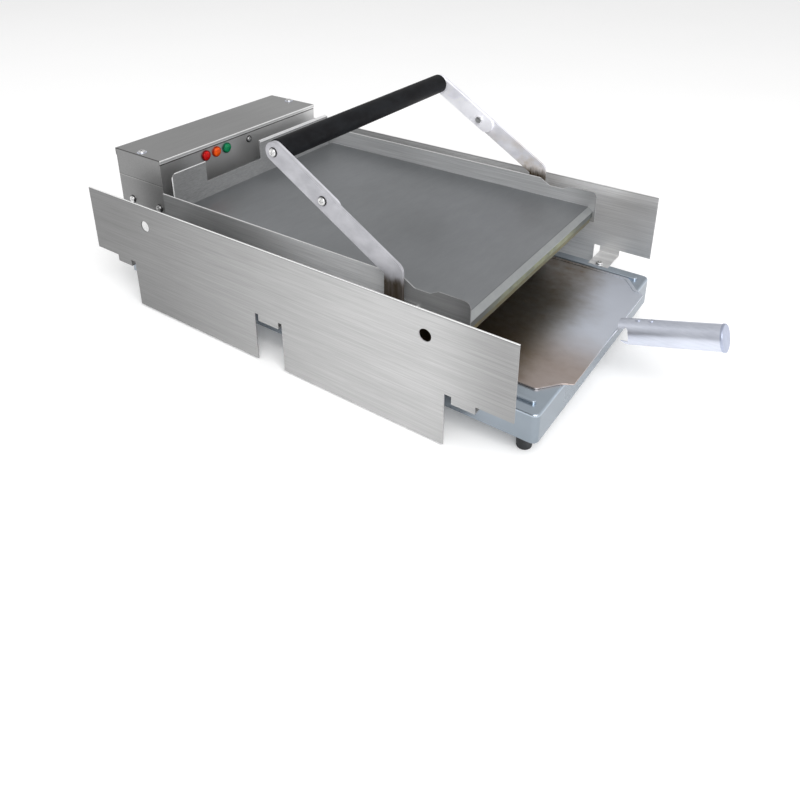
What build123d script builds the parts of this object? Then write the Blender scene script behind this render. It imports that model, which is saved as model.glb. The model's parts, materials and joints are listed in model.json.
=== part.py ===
from build123d import *
import os
from math import atan2, cos, degrees, hypot, radians, sin, tan

# A twelve-place bun toaster. While it is modelled, Y is measured from the front ends of the side panels
# and Z from the floor; keep() moves every piece so that the origin is under the middle of the whole part.

# Sheet thicknesses and clearances
panel_sheet = 1.5
base_sheet = 1.5
tray_sheet = 1.5
box_sheet = 1.2
cover_sheet = 1.5
duct_sheet = 1.5
hole_clear = 0.15
press_clear = 0.02
running_clear = 0.06
seam = 0.3
over = 1.0

# Base pan and feet
foot_height = 25.0
base_height = 38.5
base_lead = 11.6
base_rear_inset = 21.0
base_corner = 8.0
base_edge = 2.5
base_flange = 34.0
foot_radius = 10.5
foot_taper = 1.5
foot_inset_x = 20.0
foot_inset_y = 22.0
foot_screw_length = 14.0

# Side panels, hung on the base by three tabs each
panel_overrun = 5.0
panel_standoff = 35.0
panel_rise = 107.9
panel_drop = 60.5
panel_end_rise = 9.9
panel_end_run = 46.0
panel_tab_run = 30.0
panel_slot_run = 9.0
centre_tab_start = 331.5
centre_tab_run = 34.5
centre_slot_run = 6.0
panel_tab_lap = 12.0
panel_hole_radius = 8.0
panel_hole_drop = 31.5
panel_front_hole = 111.0
panel_rear_hole = 120.5

# Screws
small_shank = 1.9
small_head = 3.8
small_head_height = 2.0
large_shank = 2.4
large_head = 5.2
large_head_height = 2.8
head_round = 0.45
recess_span = 1.1
recess_width = 0.24
recess_depth = 0.9
sheet_screw_length = 8.0

# Platen
platen_front = 80.5
platen_length = 485.0
crown_plate_thick = 14.0
crown_slope_run = 7.5
crown_slope_drop = 6.0
heel_plate_thick = 10.0
heel_plate_setback = 3.0
chamber_height = 61.5
platen_lift = 30.0
element_radius = 4.0
element_groove_clear = 0.2
element_pitch = 56.0
element_front_margin = 60.0
element_rear_margin = 45.0
terminal_length = 7.0
bulb_radius = 3.0
bulb_length = 90.0
bulb_depth = 5.0
platen_screw_length = 16.0
platen_screw_front = 28.0
platen_screw_rear = 22.0

# Tray for the crowns, round the top of the platen
tray_wall_rise = 27.5
tray_wall_skirt = 2.0
tray_wall_lead = 3.5
tray_wall_tail = 11.5
tray_wall_corner = 8.0
tray_wall_front_drop = 3.5
dip_lead = 8.5
dip_run = 48.0
dip_depth = 9.5
dip_slope = 16.0
dip_step = 11.0
dip_blend = 6.0
rear_wall_inset = 9.0
rear_wall_rise = 55.5
rear_wall_corner = 8.0
window_left = -107.5
window_right = 3.5
window_sill_rise = 24.9
wall_hole_clear = 1.0
tray_screw_setback = 34.0
side_screw_lift = 4.5
tray_screw_length = 9.0
lug_screw_length = 14.0

# Lifting gear
pivot_y = 174.5
pivot_rise = 39.5
handle_swing = 90.0
pivot_radius = 5.0
pivot_head = 8.0
pivot_head_height = 3.0
pivot_head_bevel = 0.8
crank_pin_radius = 4.0
crank_play = 0.9
crank_ear = 22.0
lug_thick = 3.0
lug_margin = 7.0
lug_top_margin = 3.0
lug_corner = 4.0
arm_thick = 4.0
arm_width = 25.0
arm_gap = 1.0
arm_bracket_gap = 0.5
arm_overhang = 5.7
knee_back = 1.0
knee_rise = 82.0
inner_bar_thick = 3.0
inner_bar_overrun = 12.0
bracket_thick = 3.0
bracket_width = 30.0
bracket_drop = 30.0
grip_screw_reach = 172.5
grip_screw_rise = 187.5
grip_screw_length = 22.0
stiffener_screw_reach = 99.0
stiffener_nut_height = 4.0
grip_radius = 14.0
grip_edge = 1.5
grip_rod_radius = 6.0
guide_rod_radius = 4.0
guide_rod_inset = 11.7
blade_clear = 0.44
guide_rod_front = 135.0
guide_rod_rear = 53.5
guide_rod_socket = 7.0
bush_wall = 2.0
bush_length = 15.5
bush_flange = 2.5
bush_flange_thick = 2.0
bush_overlap = 5.0
spring_clear = 1.4
spring_wire = 0.8
spring_turns = 9

# Spatula and its guides
rib_gap = 1.5
rib_width = 7.0
rib_height = 3.5
rib_corner = 3.1
rib_edge = 1.4
rib_front_gap = 12.0
rib_length = 137.0
blade_sheet = 1.2
blade_half = 150.0
blade_length = 443.0
spatula_x = 8.0
blade_overhang = 10.0
blade_shoulder = 32.0
blade_corner_in = 32.5
blade_corner_out = 24.5
blade_corner_run = 12.5
blade_round = 7.0
blade_hem_width = 5.0
blade_hem = 0.8
neck_half = 13.0
neck_run = 14.0
neck_rise = 14.0
neck_climb = 64.0
neck_bend = 22.0
neck_seat = 11.0
neck_end_half = 7.8
neck_taper_start = 28.0
neck_taper_end = 43.5
neck_tip = 45.0
tube_radius = 16.1
tube_wall = 1.4
tube_length = 117.0
tube_lead = 2.0
tube_tilt = 16.4
# The cut at the tube's near end, seen from the side: along its axis and above it
tube_notch = [
    (-6.0, 5.0), (-1.2, 7.2), (3.3, 9.4), (8.4, 10.9), (10.6, 8.0),
    (10.6, -1.0), (8.5, -7.0), (0.0, -5.0), (9.0, -17.5), (-6.0, -17.5),
]
cap_thick = 3.0
cap_radius = 16.6
cap_plug = 10.0
cap_round = 1.0
rivet_radius = 2.0
rivet_head_height = 0.7
rivet_head = 3.0
rivet_places = (20.0, 36.0)

# Control box on its wire duct
box_inset = 12.3
box_front_gap = 28.5
box_depth = 98.0
box_height = 99.5
joint_drop = 40.0
hem_height = 5.5
cover_bend = 1.35
cover_screw_inset = 9.0
cover_screw_length = 7.0
cover_tab = 6.0
lamp_x = -82.2
lamp_pitch = 20.9
lamp_drop = 17.4
lamp_radius = 8.3
lamp_barrel = 6.0
lamp_proud = 5.0
lamp_round = 3.2
lamp_depth = 26.0
lamp_nut = 4.0
lamp_tab_length = 7.0
duct_height = 54.5
duct_half = 60.0
duct_inset = 15.0
duct_depth = 50.0
duct_flange = 12.0
duct_screw_x = 42.0
duct_screw_length = 6.0
wire_hole_x = 50.0
wire_hole_y = 30.0
side_screw_drop = 77.0
side_screw_front = 13.5
side_screw_rear = 24.0
face_screw_x = 8.5

# Controls at the rear, and what is inside the box
control_drop = 50.0
knob_inset = 66.0
knob_radius = 16.0
knob_height = 15.0
knob_round = 2.0
knob_flutes = 12
knob_flute_radius = 2.2
knob_shaft = 3.0
knob_shaft_depth = 14.0
pointer_width = 1.8
pointer_middle = 11.2
rocker_pitch = 60.0
rocker_width = 14.0
rocker_height = 22.0
rocker_tilt = 8.0
rocker_flange = 2.0
rocker_wall = 1.2
rocker_play = 0.8
rocker_pivot_radius = 1.0
rocker_pivot_length = 1.6
rocker_pivot_depth = 0.4
rocker_depth = 18.0
rocker_root = 6.6
rocker_corner = 1.6
gland_inset = 46.0
gland_bore = 4.5
gland_radius = 9.0
gland_collar = 4.0
gland_length = 14.0
gland_lip = 0.4
contactor_gap = 4.5
contactor_width = 45.0
contactor_depth = 74.0
contactor_step = 11.0
contactor_height = 60.0
contactor_foot = 28.0
terminal_inset = 27.0
terminal_width = 44.0
terminal_depth = 26.0
terminal_height = 20.0
terminal_ways = 4
terminal_entry_radius = 2.5
terminal_entry_floor = 12.0
fixing_inset = 4.0
fixing_length = 7.0
thermostat_size = (36.0, 28.0, 40.0)

# Worked-out places
small_hole = small_shank + hole_clear
large_hole = large_shank + hole_clear
base_top = foot_height + base_height
base_front = -base_lead
bush_bore = guide_rod_radius + running_clear
bush_radius = bush_bore + bush_wall
blade_edge = blade_half + abs(spatula_x)
guide_rod_x = blade_edge + blade_clear + bush_radius + bush_flange
platen_half = guide_rod_x + guide_rod_inset
platen_underside = base_top + chamber_height
heel_plate_top = platen_underside + heel_plate_thick
crown_plate_top = heel_plate_top + crown_plate_thick
platen_rear = platen_front + platen_length
platen_middle = (platen_front + platen_rear) / 2
tray_outer = platen_half + tray_sheet
tray_front = platen_front - tray_wall_lead
tray_wall_top = crown_plate_top + tray_wall_rise
tray_screw_z = heel_plate_top + side_screw_lift
rear_screw_z = (heel_plate_top + crown_plate_top) / 2
bulb_z = platen_underside + bulb_depth
lug_outer = tray_outer + lug_thick
arm_inner = lug_outer + arm_gap
arm_outer = arm_inner + arm_thick
grip_half = arm_inner - inner_bar_thick
bracket_inner = arm_outer + arm_bracket_gap
base_half = arm_outer - arm_overhang
panel_outer = base_half + panel_standoff
panel_inner = panel_outer - panel_sheet
panel_top = base_top + panel_rise
panel_low = base_top - panel_drop
panel_hole_z = panel_top - panel_hole_drop
pivot_z = base_top + pivot_rise
half_swing = radians(handle_swing / 2)
crank_radius = platen_lift / 2 / sin(half_swing)
crank_y = pivot_y - crank_radius * cos(half_swing)
crank_z = pivot_z + platen_lift / 2
slot_front = pivot_y - crank_radius
knee = (pivot_y - knee_back, pivot_z + knee_rise)
grip_screw = (pivot_y + grip_screw_reach, pivot_z + grip_screw_rise)
bar_slope = (grip_screw[1] - knee[1]) / (grip_screw[0] - knee[0])
stiffener_screw = (
    pivot_y + stiffener_screw_reach,
    knee[1] + bar_slope * (pivot_y + stiffener_screw_reach - knee[0]),
)
box_half = platen_half - box_inset
box_front = platen_rear + box_front_gap
box_rear = box_front + box_depth
panel_length = box_rear + panel_overrun
base_rear = panel_length - base_rear_inset
box_bottom = base_top + duct_height
box_top = box_bottom + box_height
joint_z = box_top - joint_drop
lamp_z = box_top - lamp_drop
control_z = box_top - control_drop
knob_x = knob_inset - box_half
rocker_x = knob_x + rocker_pitch
gland_x = box_half - gland_inset
terminal_x = box_half - terminal_inset
contactor_x = terminal_x - (terminal_width + contactor_width) / 2 - contactor_gap
shelf_top = box_bottom + box_sheet
gland_barrel = gland_radius - gland_collar / 2
blade_bottom = base_top + seam
blade_top = blade_bottom + blade_sheet
neck_root = base_front - blade_overhang
tube_root_y = neck_root - neck_run
tube_root_z = base_top + neck_rise
tilt = radians(tube_tilt)
part_front = (
    tube_root_y - (tube_length + cap_thick - cap_round) * cos(tilt)
    - (cap_radius - cap_round) * sin(tilt) - cap_round
)
part_rear = max(box_rear + cover_sheet + knob_height, box_rear + gland_length, panel_length)
y_middle = (part_front + part_rear) / 2


def slab(x0, x1, y0, y1, z0, z1):
    return Pos((x0 + x1) / 2, (y0 + y1) / 2, (z0 + z1) / 2) * Box(x1 - x0, y1 - y0, z1 - z0)


def rod_x(radius, x0, x1, y, z):
    return Pos((x0 + x1) / 2, y, z) * Rot(0, 90, 0) * Cylinder(radius, abs(x1 - x0))


def rod_y(radius, y0, y1, x, z):
    return Pos(x, (y0 + y1) / 2, z) * Rot(90, 0, 0) * Cylinder(radius, abs(y1 - y0))


def rod_z(radius, z0, z1, x, y):
    return Pos(x, y, (z0 + z1) / 2) * Cylinder(radius, abs(z1 - z0))


def upright(sketch, x0, x1):
    """A plate cut to a sketch in the Y-Z plane, from x0 to x1."""
    return extrude(Plane.YZ.offset(x0) * sketch, amount=x1 - x0)


def bar_sketch(start, end, width):
    run, rise = end[0] - start[0], end[1] - start[1]
    middle = ((start[0] + end[0]) / 2, (start[1] + end[1]) / 2)
    slot = SlotCenterToCenter(hypot(run, rise), width, rotation=degrees(atan2(rise, run)))
    return Pos(*middle) * slot


def other_side(shape):
    return mirror(shape, about=Plane.YZ)


def both_sides(*shapes):
    return [*shapes, *(other_side(shape) for shape in shapes)]


def drill(shape, tools):
    for tool in tools:
        shape = shape - tool
    return shape


def screw(shank, length, head, head_height):
    """A pan-head screw along Z, its head's seat at Z 0 and a cross recess on top."""
    dome = fillet(Cylinder(head, head_height).edges().group_by(Axis.Z)[-1], head_height * head_round)
    body = Pos(0, 0, head_height / 2) * dome + Pos(0, 0, -length / 2) * Cylinder(shank, length)
    for turn in (0, 90):
        groove = Box(head * recess_span, head * recess_width, 2 * recess_depth)
        body -= Pos(0, 0, head_height) * Rot(0, 0, turn) * groove
    return body


def small_screw(length):
    return screw(small_shank, length, small_head, small_head_height)


def large_screw(length):
    return screw(large_shank, length, large_head, large_head_height)


facing_right = Rot(0, 90, 0)
facing_front = Rot(90, 0, 0)
facing_rear = Rot(-90, 0, 0)


def keep(name, *solids):
    """Write one node: a solid, or a group of separate solids of one kind."""
    moved = [Pos(0, -y_middle, 0) * solid for solid in solids]
    shape = moved[0] if len(moved) == 1 else Compound(children=moved)
    export_step(shape, f"parts/{name}.step")


foot_spots = [
    (side * (base_half - foot_inset_x), y)
    for side in (-1, 1)
    for y in (base_front + foot_inset_y, base_rear - foot_inset_y)
]
tab_ends = panel_end_run + panel_tab_run
tab_starts = (panel_end_run, centre_tab_start, panel_length - panel_end_run - panel_tab_run)
tab_runs = (panel_tab_run, centre_tab_run, panel_tab_run)
tab_inner = base_half - panel_tab_lap
tab_screw_spots = [
    (side * (base_half - panel_tab_lap / 2), start + run / 2)
    for side in (-1, 1)
    for start, run in zip(tab_starts, tab_runs)
]
guide_spots = [
    (side * guide_rod_x, y)
    for side in (-1, 1)
    for y in (platen_front + guide_rod_front, platen_rear - guide_rod_rear)
]
bracket_screw_ys = (pivot_y - bracket_width / 4, pivot_y + bracket_width / 4)
bracket_screw_z = base_top - bracket_drop / 2
bracket_outer = bracket_inner + bracket_thick
duct_front = box_front + duct_inset
duct_rear = duct_front + duct_depth
duct_screw_spots = [
    (side * duct_screw_x, y)
    for side in (-1, 1)
    for y in (duct_front - duct_flange / 2, duct_rear + duct_flange / 2)
]


def wire_hole(z0, z1):
    middle = (duct_front + duct_rear) / 2
    return slab(
        -wire_hole_x / 2, wire_hole_x / 2, middle - wire_hole_y / 2, middle + wire_hole_y / 2, z0, z1
    )


def base_pan():
    """A sheet pan, open below, with a mitred flange turned in round the bottom for the feet."""
    length = base_rear - base_front
    outline = RectangleRounded(2 * base_half, length, base_corner)
    inner = RectangleRounded(
        2 * (base_half - base_sheet), length - 2 * base_sheet, base_corner - base_sheet
    )
    opening = Rectangle(2 * (base_half - base_flange), length - 2 * base_flange)
    pan = extrude(outline, amount=base_height)
    pan = fillet(pan.edges().group_by(Axis.Z)[-1], base_edge)
    pan -= Pos(0, 0, base_sheet) * extrude(inner, amount=base_height - 2 * base_sheet)
    pan -= extrude(opening, amount=base_sheet)
    pan = Pos(0, (base_front + base_rear) / 2, foot_height) * pan
    under, floor = base_top - base_sheet - over, foot_height - over
    cuts = [rod_z(bush_radius + hole_clear, under, base_top + over, x, y) for x, y in guide_spots]
    cuts += [rod_z(large_hole, under, base_top + over, x, y) for x, y in tab_screw_spots]
    cuts += [rod_z(large_hole, under, base_top + over, x, y) for x, y in duct_screw_spots]
    cuts += [rod_z(large_hole, floor, foot_height + base_sheet + over, x, y) for x, y in foot_spots]
    cuts += both_sides(*(
        rod_x(large_hole, base_half - base_sheet - over, base_half + over, y, bracket_screw_z)
        for y in bracket_screw_ys
    ))
    cuts.append(wire_hole(under, base_top + over))
    return drill(pan, cuts)


def guide_rib():
    start = base_front + rib_front_gap
    inner = blade_edge + rib_gap
    rib = slab(inner, inner + rib_width, start, start + rib_length, base_top, base_top + rib_height)
    rib = fillet(rib.edges().filter_by(Axis.Z), rib_corner)
    return fillet(rib.edges().group_by(Axis.Z)[-1], rib_edge)


def foot(x, y):
    cone = Cone(foot_radius - foot_taper, foot_radius, foot_height)
    cone = fillet(cone.edges().group_by(Axis.Z)[0], foot_taper)
    bore = rod_z(large_hole, foot_height - foot_screw_length - over, foot_height + over, x, y)
    return Pos(x, y, foot_height / 2) * cone - bore


def panel_sketch():
    """Outline of a side panel: a straight top, and feet, tabs and relief slots along the bottom."""
    raised = base_top + panel_end_rise
    centre_tab_end = centre_tab_start + centre_tab_run
    feet = (
        (tab_ends + panel_slot_run, centre_tab_start - centre_slot_run),
        (centre_tab_end + centre_slot_run, panel_length - tab_ends - panel_slot_run),
    )
    tabs = (
        (panel_end_run, tab_ends), (centre_tab_start, centre_tab_end),
        (panel_length - tab_ends, panel_length - panel_end_run),
    )
    drops = [(*run, panel_low) for run in feet] + [(*run, base_top) for run in tabs]
    steps = [(0, raised)]
    for start, end, level in sorted(drops):
        steps += [(start, raised), (start, level), (end, level), (end, raised)]
    steps += [(panel_length, raised), (panel_length, panel_top), (0, panel_top)]
    return make_face(Polyline(*steps, close=True))


def side_panel():
    panel = upright(panel_sketch(), panel_inner, panel_outer)
    for start, run in zip(tab_starts, tab_runs):
        panel += slab(tab_inner, panel_outer, start, start + run, base_top, base_top + panel_sheet)
    for y in (panel_front_hole, panel_length - panel_rear_hole):
        panel -= rod_x(panel_hole_radius, panel_inner - over, panel_outer + over, y, panel_hole_z)
    top = base_top + panel_sheet + over
    return drill(panel, [
        rod_z(large_hole, base_top - over, top, x, y) for x, y in tab_screw_spots if x > 0
    ])


def guide_bush(x, y):
    bottom = base_top + bush_flange_thick - bush_length
    top = base_top + bush_flange_thick
    bush = rod_z(bush_radius, bottom, base_top, x, y)
    bush += rod_z(bush_radius + bush_flange, base_top, top, x, y)
    return bush - rod_z(bush_bore, bottom - over, top + over, x, y)


spring_bottom = base_top + bush_flange_thick + spring_wire
spring_height = platen_underside - seam - spring_wire - spring_bottom
spring_radius = guide_rod_radius + spring_clear + spring_wire


def spring_path():
    return Helix(pitch=spring_height / spring_turns, height=spring_height, radius=spring_radius)


def lift_spring(x, y):
    """A coil of wire round a guide rod, from the bush's flange up to the platen."""
    path = spring_path()
    wire = sweep(Plane(path @ 0, z_dir=path % 0) * Circle(spring_wire), path=path)
    return Pos(x, y, spring_bottom) * wire


def spring_gap():
    """The least gap between two turns of a lifting spring, measured on points half a turn apart or more."""
    path = spring_path()
    count = spring_turns * 24
    points = [path @ (index / count) for index in range(count + 1)]
    spans = [
        (points[first] - points[second]).length
        for first in range(count + 1)
        for second in range(first + 12, count + 1)
    ]
    return min(spans) - 2 * spring_wire


def handle_bracket():
    """A plate for the pivot. Its foot is thicker, so that it stands off the base's side, clear of the arm."""
    low = (pivot_y, base_top - bracket_drop + bracket_width / 2)
    plate = upright(bar_sketch(low, (pivot_y, pivot_z), bracket_width), base_half, bracket_outer)
    foot_top = base_top - base_edge
    plate -= slab(
        base_half - over, bracket_inner, pivot_y - bracket_width, pivot_y + bracket_width,
        foot_top, pivot_z + bracket_width,
    )
    inner, outer = base_half - over, bracket_outer + over
    tools = [rod_x(pivot_radius + press_clear, inner, outer, pivot_y, pivot_z)]
    tools += [rod_x(large_hole, inner, outer, y, bracket_screw_z) for y in bracket_screw_ys]
    return drill(plate, tools)


def pivot_pin():
    shank = rod_x(pivot_radius, arm_inner + press_clear, bracket_outer, pivot_y, pivot_z)
    head = rod_x(pivot_head, bracket_outer, bracket_outer + pivot_head_height, pivot_y, pivot_z)
    return shank + chamfer(head.edges().group_by(Axis.X)[-1], pivot_head_bevel)


def wire_duct():
    """A sheet channel that carries the control box on the base and hides its wires."""
    top, bottom = box_bottom, base_top
    shell = slab(-duct_half, duct_half, duct_front, duct_rear, bottom, top)
    for z0, z1 in ((bottom, bottom + duct_sheet), (top - duct_sheet, top)):
        shell += slab(-duct_half, duct_half, duct_front - duct_flange, duct_rear + duct_flange, z0, z1)
    shell -= slab(
        duct_sheet - duct_half, duct_half - duct_sheet, duct_front + duct_sheet,
        duct_rear - duct_sheet, bottom - over, top + over,
    )
    return drill(shell, [
        rod_z(large_hole, z0, z1, x, y)
        for x, y in duct_screw_spots
        for z0, z1 in ((bottom - over, bottom + duct_sheet + over), (top - duct_sheet - over, top + over))
    ])


side_screw_z = box_top - side_screw_drop
side_screw_ys = (box_front + side_screw_front, box_rear - side_screw_rear)
cover_screw_spots = [
    (side * (box_half - cover_screw_inset), (box_front + box_rear) / 2) for side in (-1, 1)
]
lamp_xs = [lamp_x + index * lamp_pitch for index in range(3)]
component_y = (box_front + box_rear) / 2
contactor_reach = contactor_depth / 2 - fixing_inset
terminal_reach = terminal_width / 2 - fixing_inset
contactor_fixings = [(contactor_x, component_y + side * contactor_reach) for side in (-1, 1)]
terminal_fixings = [(terminal_x + side * terminal_reach, component_y) for side in (-1, 1)]


def box_body():
    """The lower shell of the control box: floor, low side walls, and full front and rear walls."""
    lid = box_top - cover_sheet
    wall_front, wall_rear = box_front + box_sheet, box_rear - box_sheet
    body = slab(-box_half, box_half, box_front, box_rear, box_bottom, lid)
    body -= slab(box_sheet - box_half, box_half - box_sheet, wall_front, wall_rear, shelf_top, lid + over)
    for side_cut in both_sides(slab(
        box_half - box_sheet - over, box_half + over, wall_front, wall_rear, joint_z - seam, lid + over
    )):
        body -= side_cut
    for x, y in cover_screw_spots:
        body += slab(x - cover_tab, x + cover_tab, box_front, y + cover_tab, lid - box_sheet, lid)
    return drill(body, box_front_holes() + box_rear_holes() + box_other_holes(lid))


def box_front_holes():
    near, far = box_front - over, box_front + box_sheet + over
    holes = [rod_y(lamp_barrel + hole_clear, near, far, x, lamp_z) for x in lamp_xs]
    return holes + [rod_y(small_hole, near, far, face_screw_x, lamp_z)]


def box_rear_holes():
    near, far = box_rear - box_sheet - over, box_rear + over
    return [
        rod_y(knob_shaft + 1, near, far, knob_x, control_z),
        rod_y(gland_barrel + hole_clear, near, far, gland_x, control_z),
        slab(
            rocker_x - rocker_width / 2, rocker_x + rocker_width / 2, near, far,
            control_z - rocker_height / 2, control_z + rocker_height / 2,
        ),
    ]


def box_other_holes(lid):
    floor = (box_bottom - over, shelf_top + over)
    holes = [rod_z(large_hole, lid - box_sheet - over, lid + over, x, y) for x, y in cover_screw_spots]
    holes += both_sides(*(
        rod_x(large_hole, box_half - box_sheet - over, box_half + over, y, side_screw_z)
        for y in side_screw_ys
    ))
    holes += [rod_z(large_hole, *floor, x, y) for x, y in duct_screw_spots]
    holes += [rod_z(small_hole, *floor, x, y) for x, y in contactor_fixings + terminal_fixings]
    return holes + [wire_hole(*floor)]


def box_cover():
    """The lid: a top with side skirts down to the joint line, and hems over the front and rear walls."""
    front, rear = box_front - cover_sheet, box_rear + cover_sheet
    cover = slab(-box_half, box_half, front, rear, box_top - cover_sheet, box_top)
    for skirt in both_sides(slab(
        box_half - cover_sheet, box_half, box_front + box_sheet + seam, box_rear - box_sheet - seam,
        joint_z, box_top,
    )):
        cover += skirt
    cover += slab(-box_half, box_half, front, box_front, box_top - hem_height, box_top)
    cover += slab(-box_half, box_half, box_rear, rear, box_top - 2 * hem_height, box_top)
    cover = fillet(cover.edges().filter_by(Axis.X).group_by(Axis.Z)[-1], cover_bend)
    return drill(cover, [
        rod_z(large_hole, box_top - cover_sheet - over, box_top + over, x, y) for x, y in cover_screw_spots
    ])


def lamp_lens(x):
    lens = rod_y(lamp_radius, box_front - lamp_proud, box_front, x, lamp_z)
    lens = fillet(lens.edges().group_by(Axis.Y)[0], lamp_round)
    return lens + rod_y(lamp_barrel, box_front, box_front + 2 * box_sheet, x, lamp_z)


def lamp_body(x):
    """A lamp's nut and barrel behind the front wall, with its two terminal tabs."""
    start = box_front + 2 * box_sheet
    hexagon = Pos(x, lamp_z) * RegularPolygon(1.5 * lamp_barrel, 6)
    body = extrude(Plane.XZ.offset(-start) * hexagon, amount=-lamp_nut)
    body += rod_y(lamp_barrel, start, start + lamp_depth, x, lamp_z)
    for side in (-1, 1):
        middle = x + side * lamp_barrel / 2
        tab = Box(lamp_barrel / 2, lamp_tab_length, box_sheet)
        body += Pos(middle, start + lamp_depth + lamp_tab_length / 2, lamp_z) * tab
    return body


def fixing_hole(x, y):
    """A screw hole through a component's foot, with a pocket above it for the head."""
    seat = shelf_top + fixing_length
    return [
        rod_z(small_hole, box_bottom, seat + over, x, y),
        rod_z(small_head + 2 * hole_clear, seat, shelf_top + contactor_foot + over, x, y),
    ]


def on_shelf(width, depth, height, x):
    return Pos(x, component_y, shelf_top + height / 2) * Box(width, depth, height)


def contactor():
    body = on_shelf(contactor_width, contactor_depth, contactor_foot, contactor_x)
    body += on_shelf(contactor_width, contactor_depth - 2 * contactor_step, contactor_height, contactor_x)
    way = contactor_width / 3
    for index in (-1, 1):
        for side in (-1, 1):
            y = component_y + side * contactor_reach
            terminal = Box(way / 2, contactor_step / 2, contactor_step)
            body -= Pos(contactor_x + index * way, y, shelf_top + contactor_foot) * terminal
    return drill(body, [tool for x, y in contactor_fixings for tool in fixing_hole(x, y)])


def terminal_block():
    block = on_shelf(terminal_width, terminal_depth, terminal_height, terminal_x)
    way = (terminal_width - 4 * fixing_inset) / terminal_ways
    for index in range(terminal_ways):
        x = terminal_x + (index - (terminal_ways - 1) / 2) * way
        for side in (-1, 1):
            y = component_y + side * terminal_depth / 4
            entry = (shelf_top + terminal_entry_floor, shelf_top + terminal_height + over)
            block -= rod_z(terminal_entry_radius, *entry, x, y)
    return drill(block, [tool for x, y in terminal_fixings for tool in fixing_hole(x, y)])


def thermostat():
    width, depth, height = thermostat_size
    rear = box_rear - box_sheet
    body = Pos(knob_x, rear - depth / 2, control_z) * Box(width, depth, height)
    for index in (-1, 0, 1):
        tab = Box(width / 6, depth / 4, box_sheet)
        body += Pos(knob_x + index * width / 4, rear - depth * 1.125, control_z) * tab
    bore = rod_y(knob_shaft + running_clear, rear - knob_shaft_depth - over, rear + over, knob_x, control_z)
    return body - bore


def thermostat_knob():
    face = box_rear + cover_sheet
    top = face + knob_height
    knob = rod_y(knob_radius, face + seam, top, knob_x, control_z)
    knob = fillet(knob.edges().group_by(Axis.Y)[-1], knob_round)
    for index in range(knob_flutes):
        turn = radians((index + 0.5) * 360 / knob_flutes)
        x = knob_x + (knob_radius + 1) * cos(turn)
        z = control_z + (knob_radius + 1) * sin(turn)
        knob -= rod_y(knob_flute_radius, face - over, top + over, x, z)
    pointer = Box(pointer_width, 2 * recess_depth, knob_radius)
    shaft = rod_y(knob_shaft, box_rear - box_sheet - knob_shaft_depth, face + over, knob_x, control_z)
    return knob - Pos(knob_x, top, control_z + pointer_middle) * pointer + shaft


def rocker_frame():
    """The switch's housing: a flange outside the rear wall and a well that the key rocks in."""
    flange = Box(rocker_width + 2 * rocker_flange, rocker_flange, rocker_height + 2 * rocker_flange)
    frame = Pos(0, rocker_flange / 2, 0) * fillet(flange.edges().filter_by(Axis.Y), rocker_corner)
    block = Box(rocker_width - 2 * hole_clear, rocker_depth, rocker_height - 2 * hole_clear)
    frame += Pos(0, -rocker_depth / 2, 0) * block
    well = Box(rocker_width - 2 * rocker_wall, rocker_depth, rocker_height - 2 * rocker_wall)
    pivot = rocker_pivot_radius + running_clear
    pivots = rod_x(pivot, -rocker_width / 2, rocker_width / 2, -rocker_pivot_depth, 0)
    return Pos(rocker_x, box_rear, control_z) * (frame - well - pivots)


def rocker():
    """A see-saw key: two flats that meet at a shallow angle over its two pivots."""
    half = rocker_height / 2 - rocker_wall - rocker_play
    rise = half * tan(radians(rocker_tilt))
    face = box_rear + rocker_flange - rocker_play
    root = box_rear - 2 * rocker_flange
    outline = Polyline(
        (face, control_z - half), (face + rise, control_z - half), (face, control_z),
        (face - rise / 5, control_z + half), (root, control_z + rocker_root),
        (root, control_z - rocker_root), close=True,
    )
    width = rocker_width / 2 - rocker_wall - rocker_play
    key = upright(make_face(outline), rocker_x - width, rocker_x + width)
    reach = width + rocker_pivot_length
    pivot_axis = (box_rear - rocker_pivot_depth, control_z)
    return key + rod_x(rocker_pivot_radius, rocker_x - reach, rocker_x + reach, *pivot_axis)


def cord_gland():
    end = box_rear + gland_length
    inner = box_rear - box_sheet - 1.5 * gland_collar
    gland = rod_y(gland_barrel, inner, box_rear, gland_x, control_z)
    gland += rod_y(gland_radius, box_rear, box_rear + gland_collar, gland_x, control_z)
    nose = rod_y(gland_barrel + gland_lip, box_rear + gland_collar, end, gland_x, control_z)
    gland += fillet(nose.edges().group_by(Axis.Y)[-1], gland_collar / 2)
    return gland - rod_y(gland_bore, inner - over, end + over, gland_x, control_z)


run_xs = [(index - 2.5) * element_pitch for index in range(6)]
element_front = platen_front + element_front_margin
element_rear = platen_rear - element_rear_margin
lug_front = slot_front - crank_pin_radius - lug_margin
lug_screw_ys = (lug_front + lug_margin, pivot_y - lug_margin)
tray_screw_ys = (platen_front + tray_screw_setback, platen_middle, platen_rear - tray_screw_setback)
rear_screw_xs = (-2 * element_pitch, -element_pitch, element_pitch, 2 * element_pitch)
platen_screw_spots = [
    (side * x, y)
    for side in (-1, 1)
    for x, y in (
        (element_pitch, platen_front + platen_screw_front), (2 * element_pitch, platen_middle),
        (2 * element_pitch, platen_rear - platen_screw_rear),
    )
]


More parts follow.
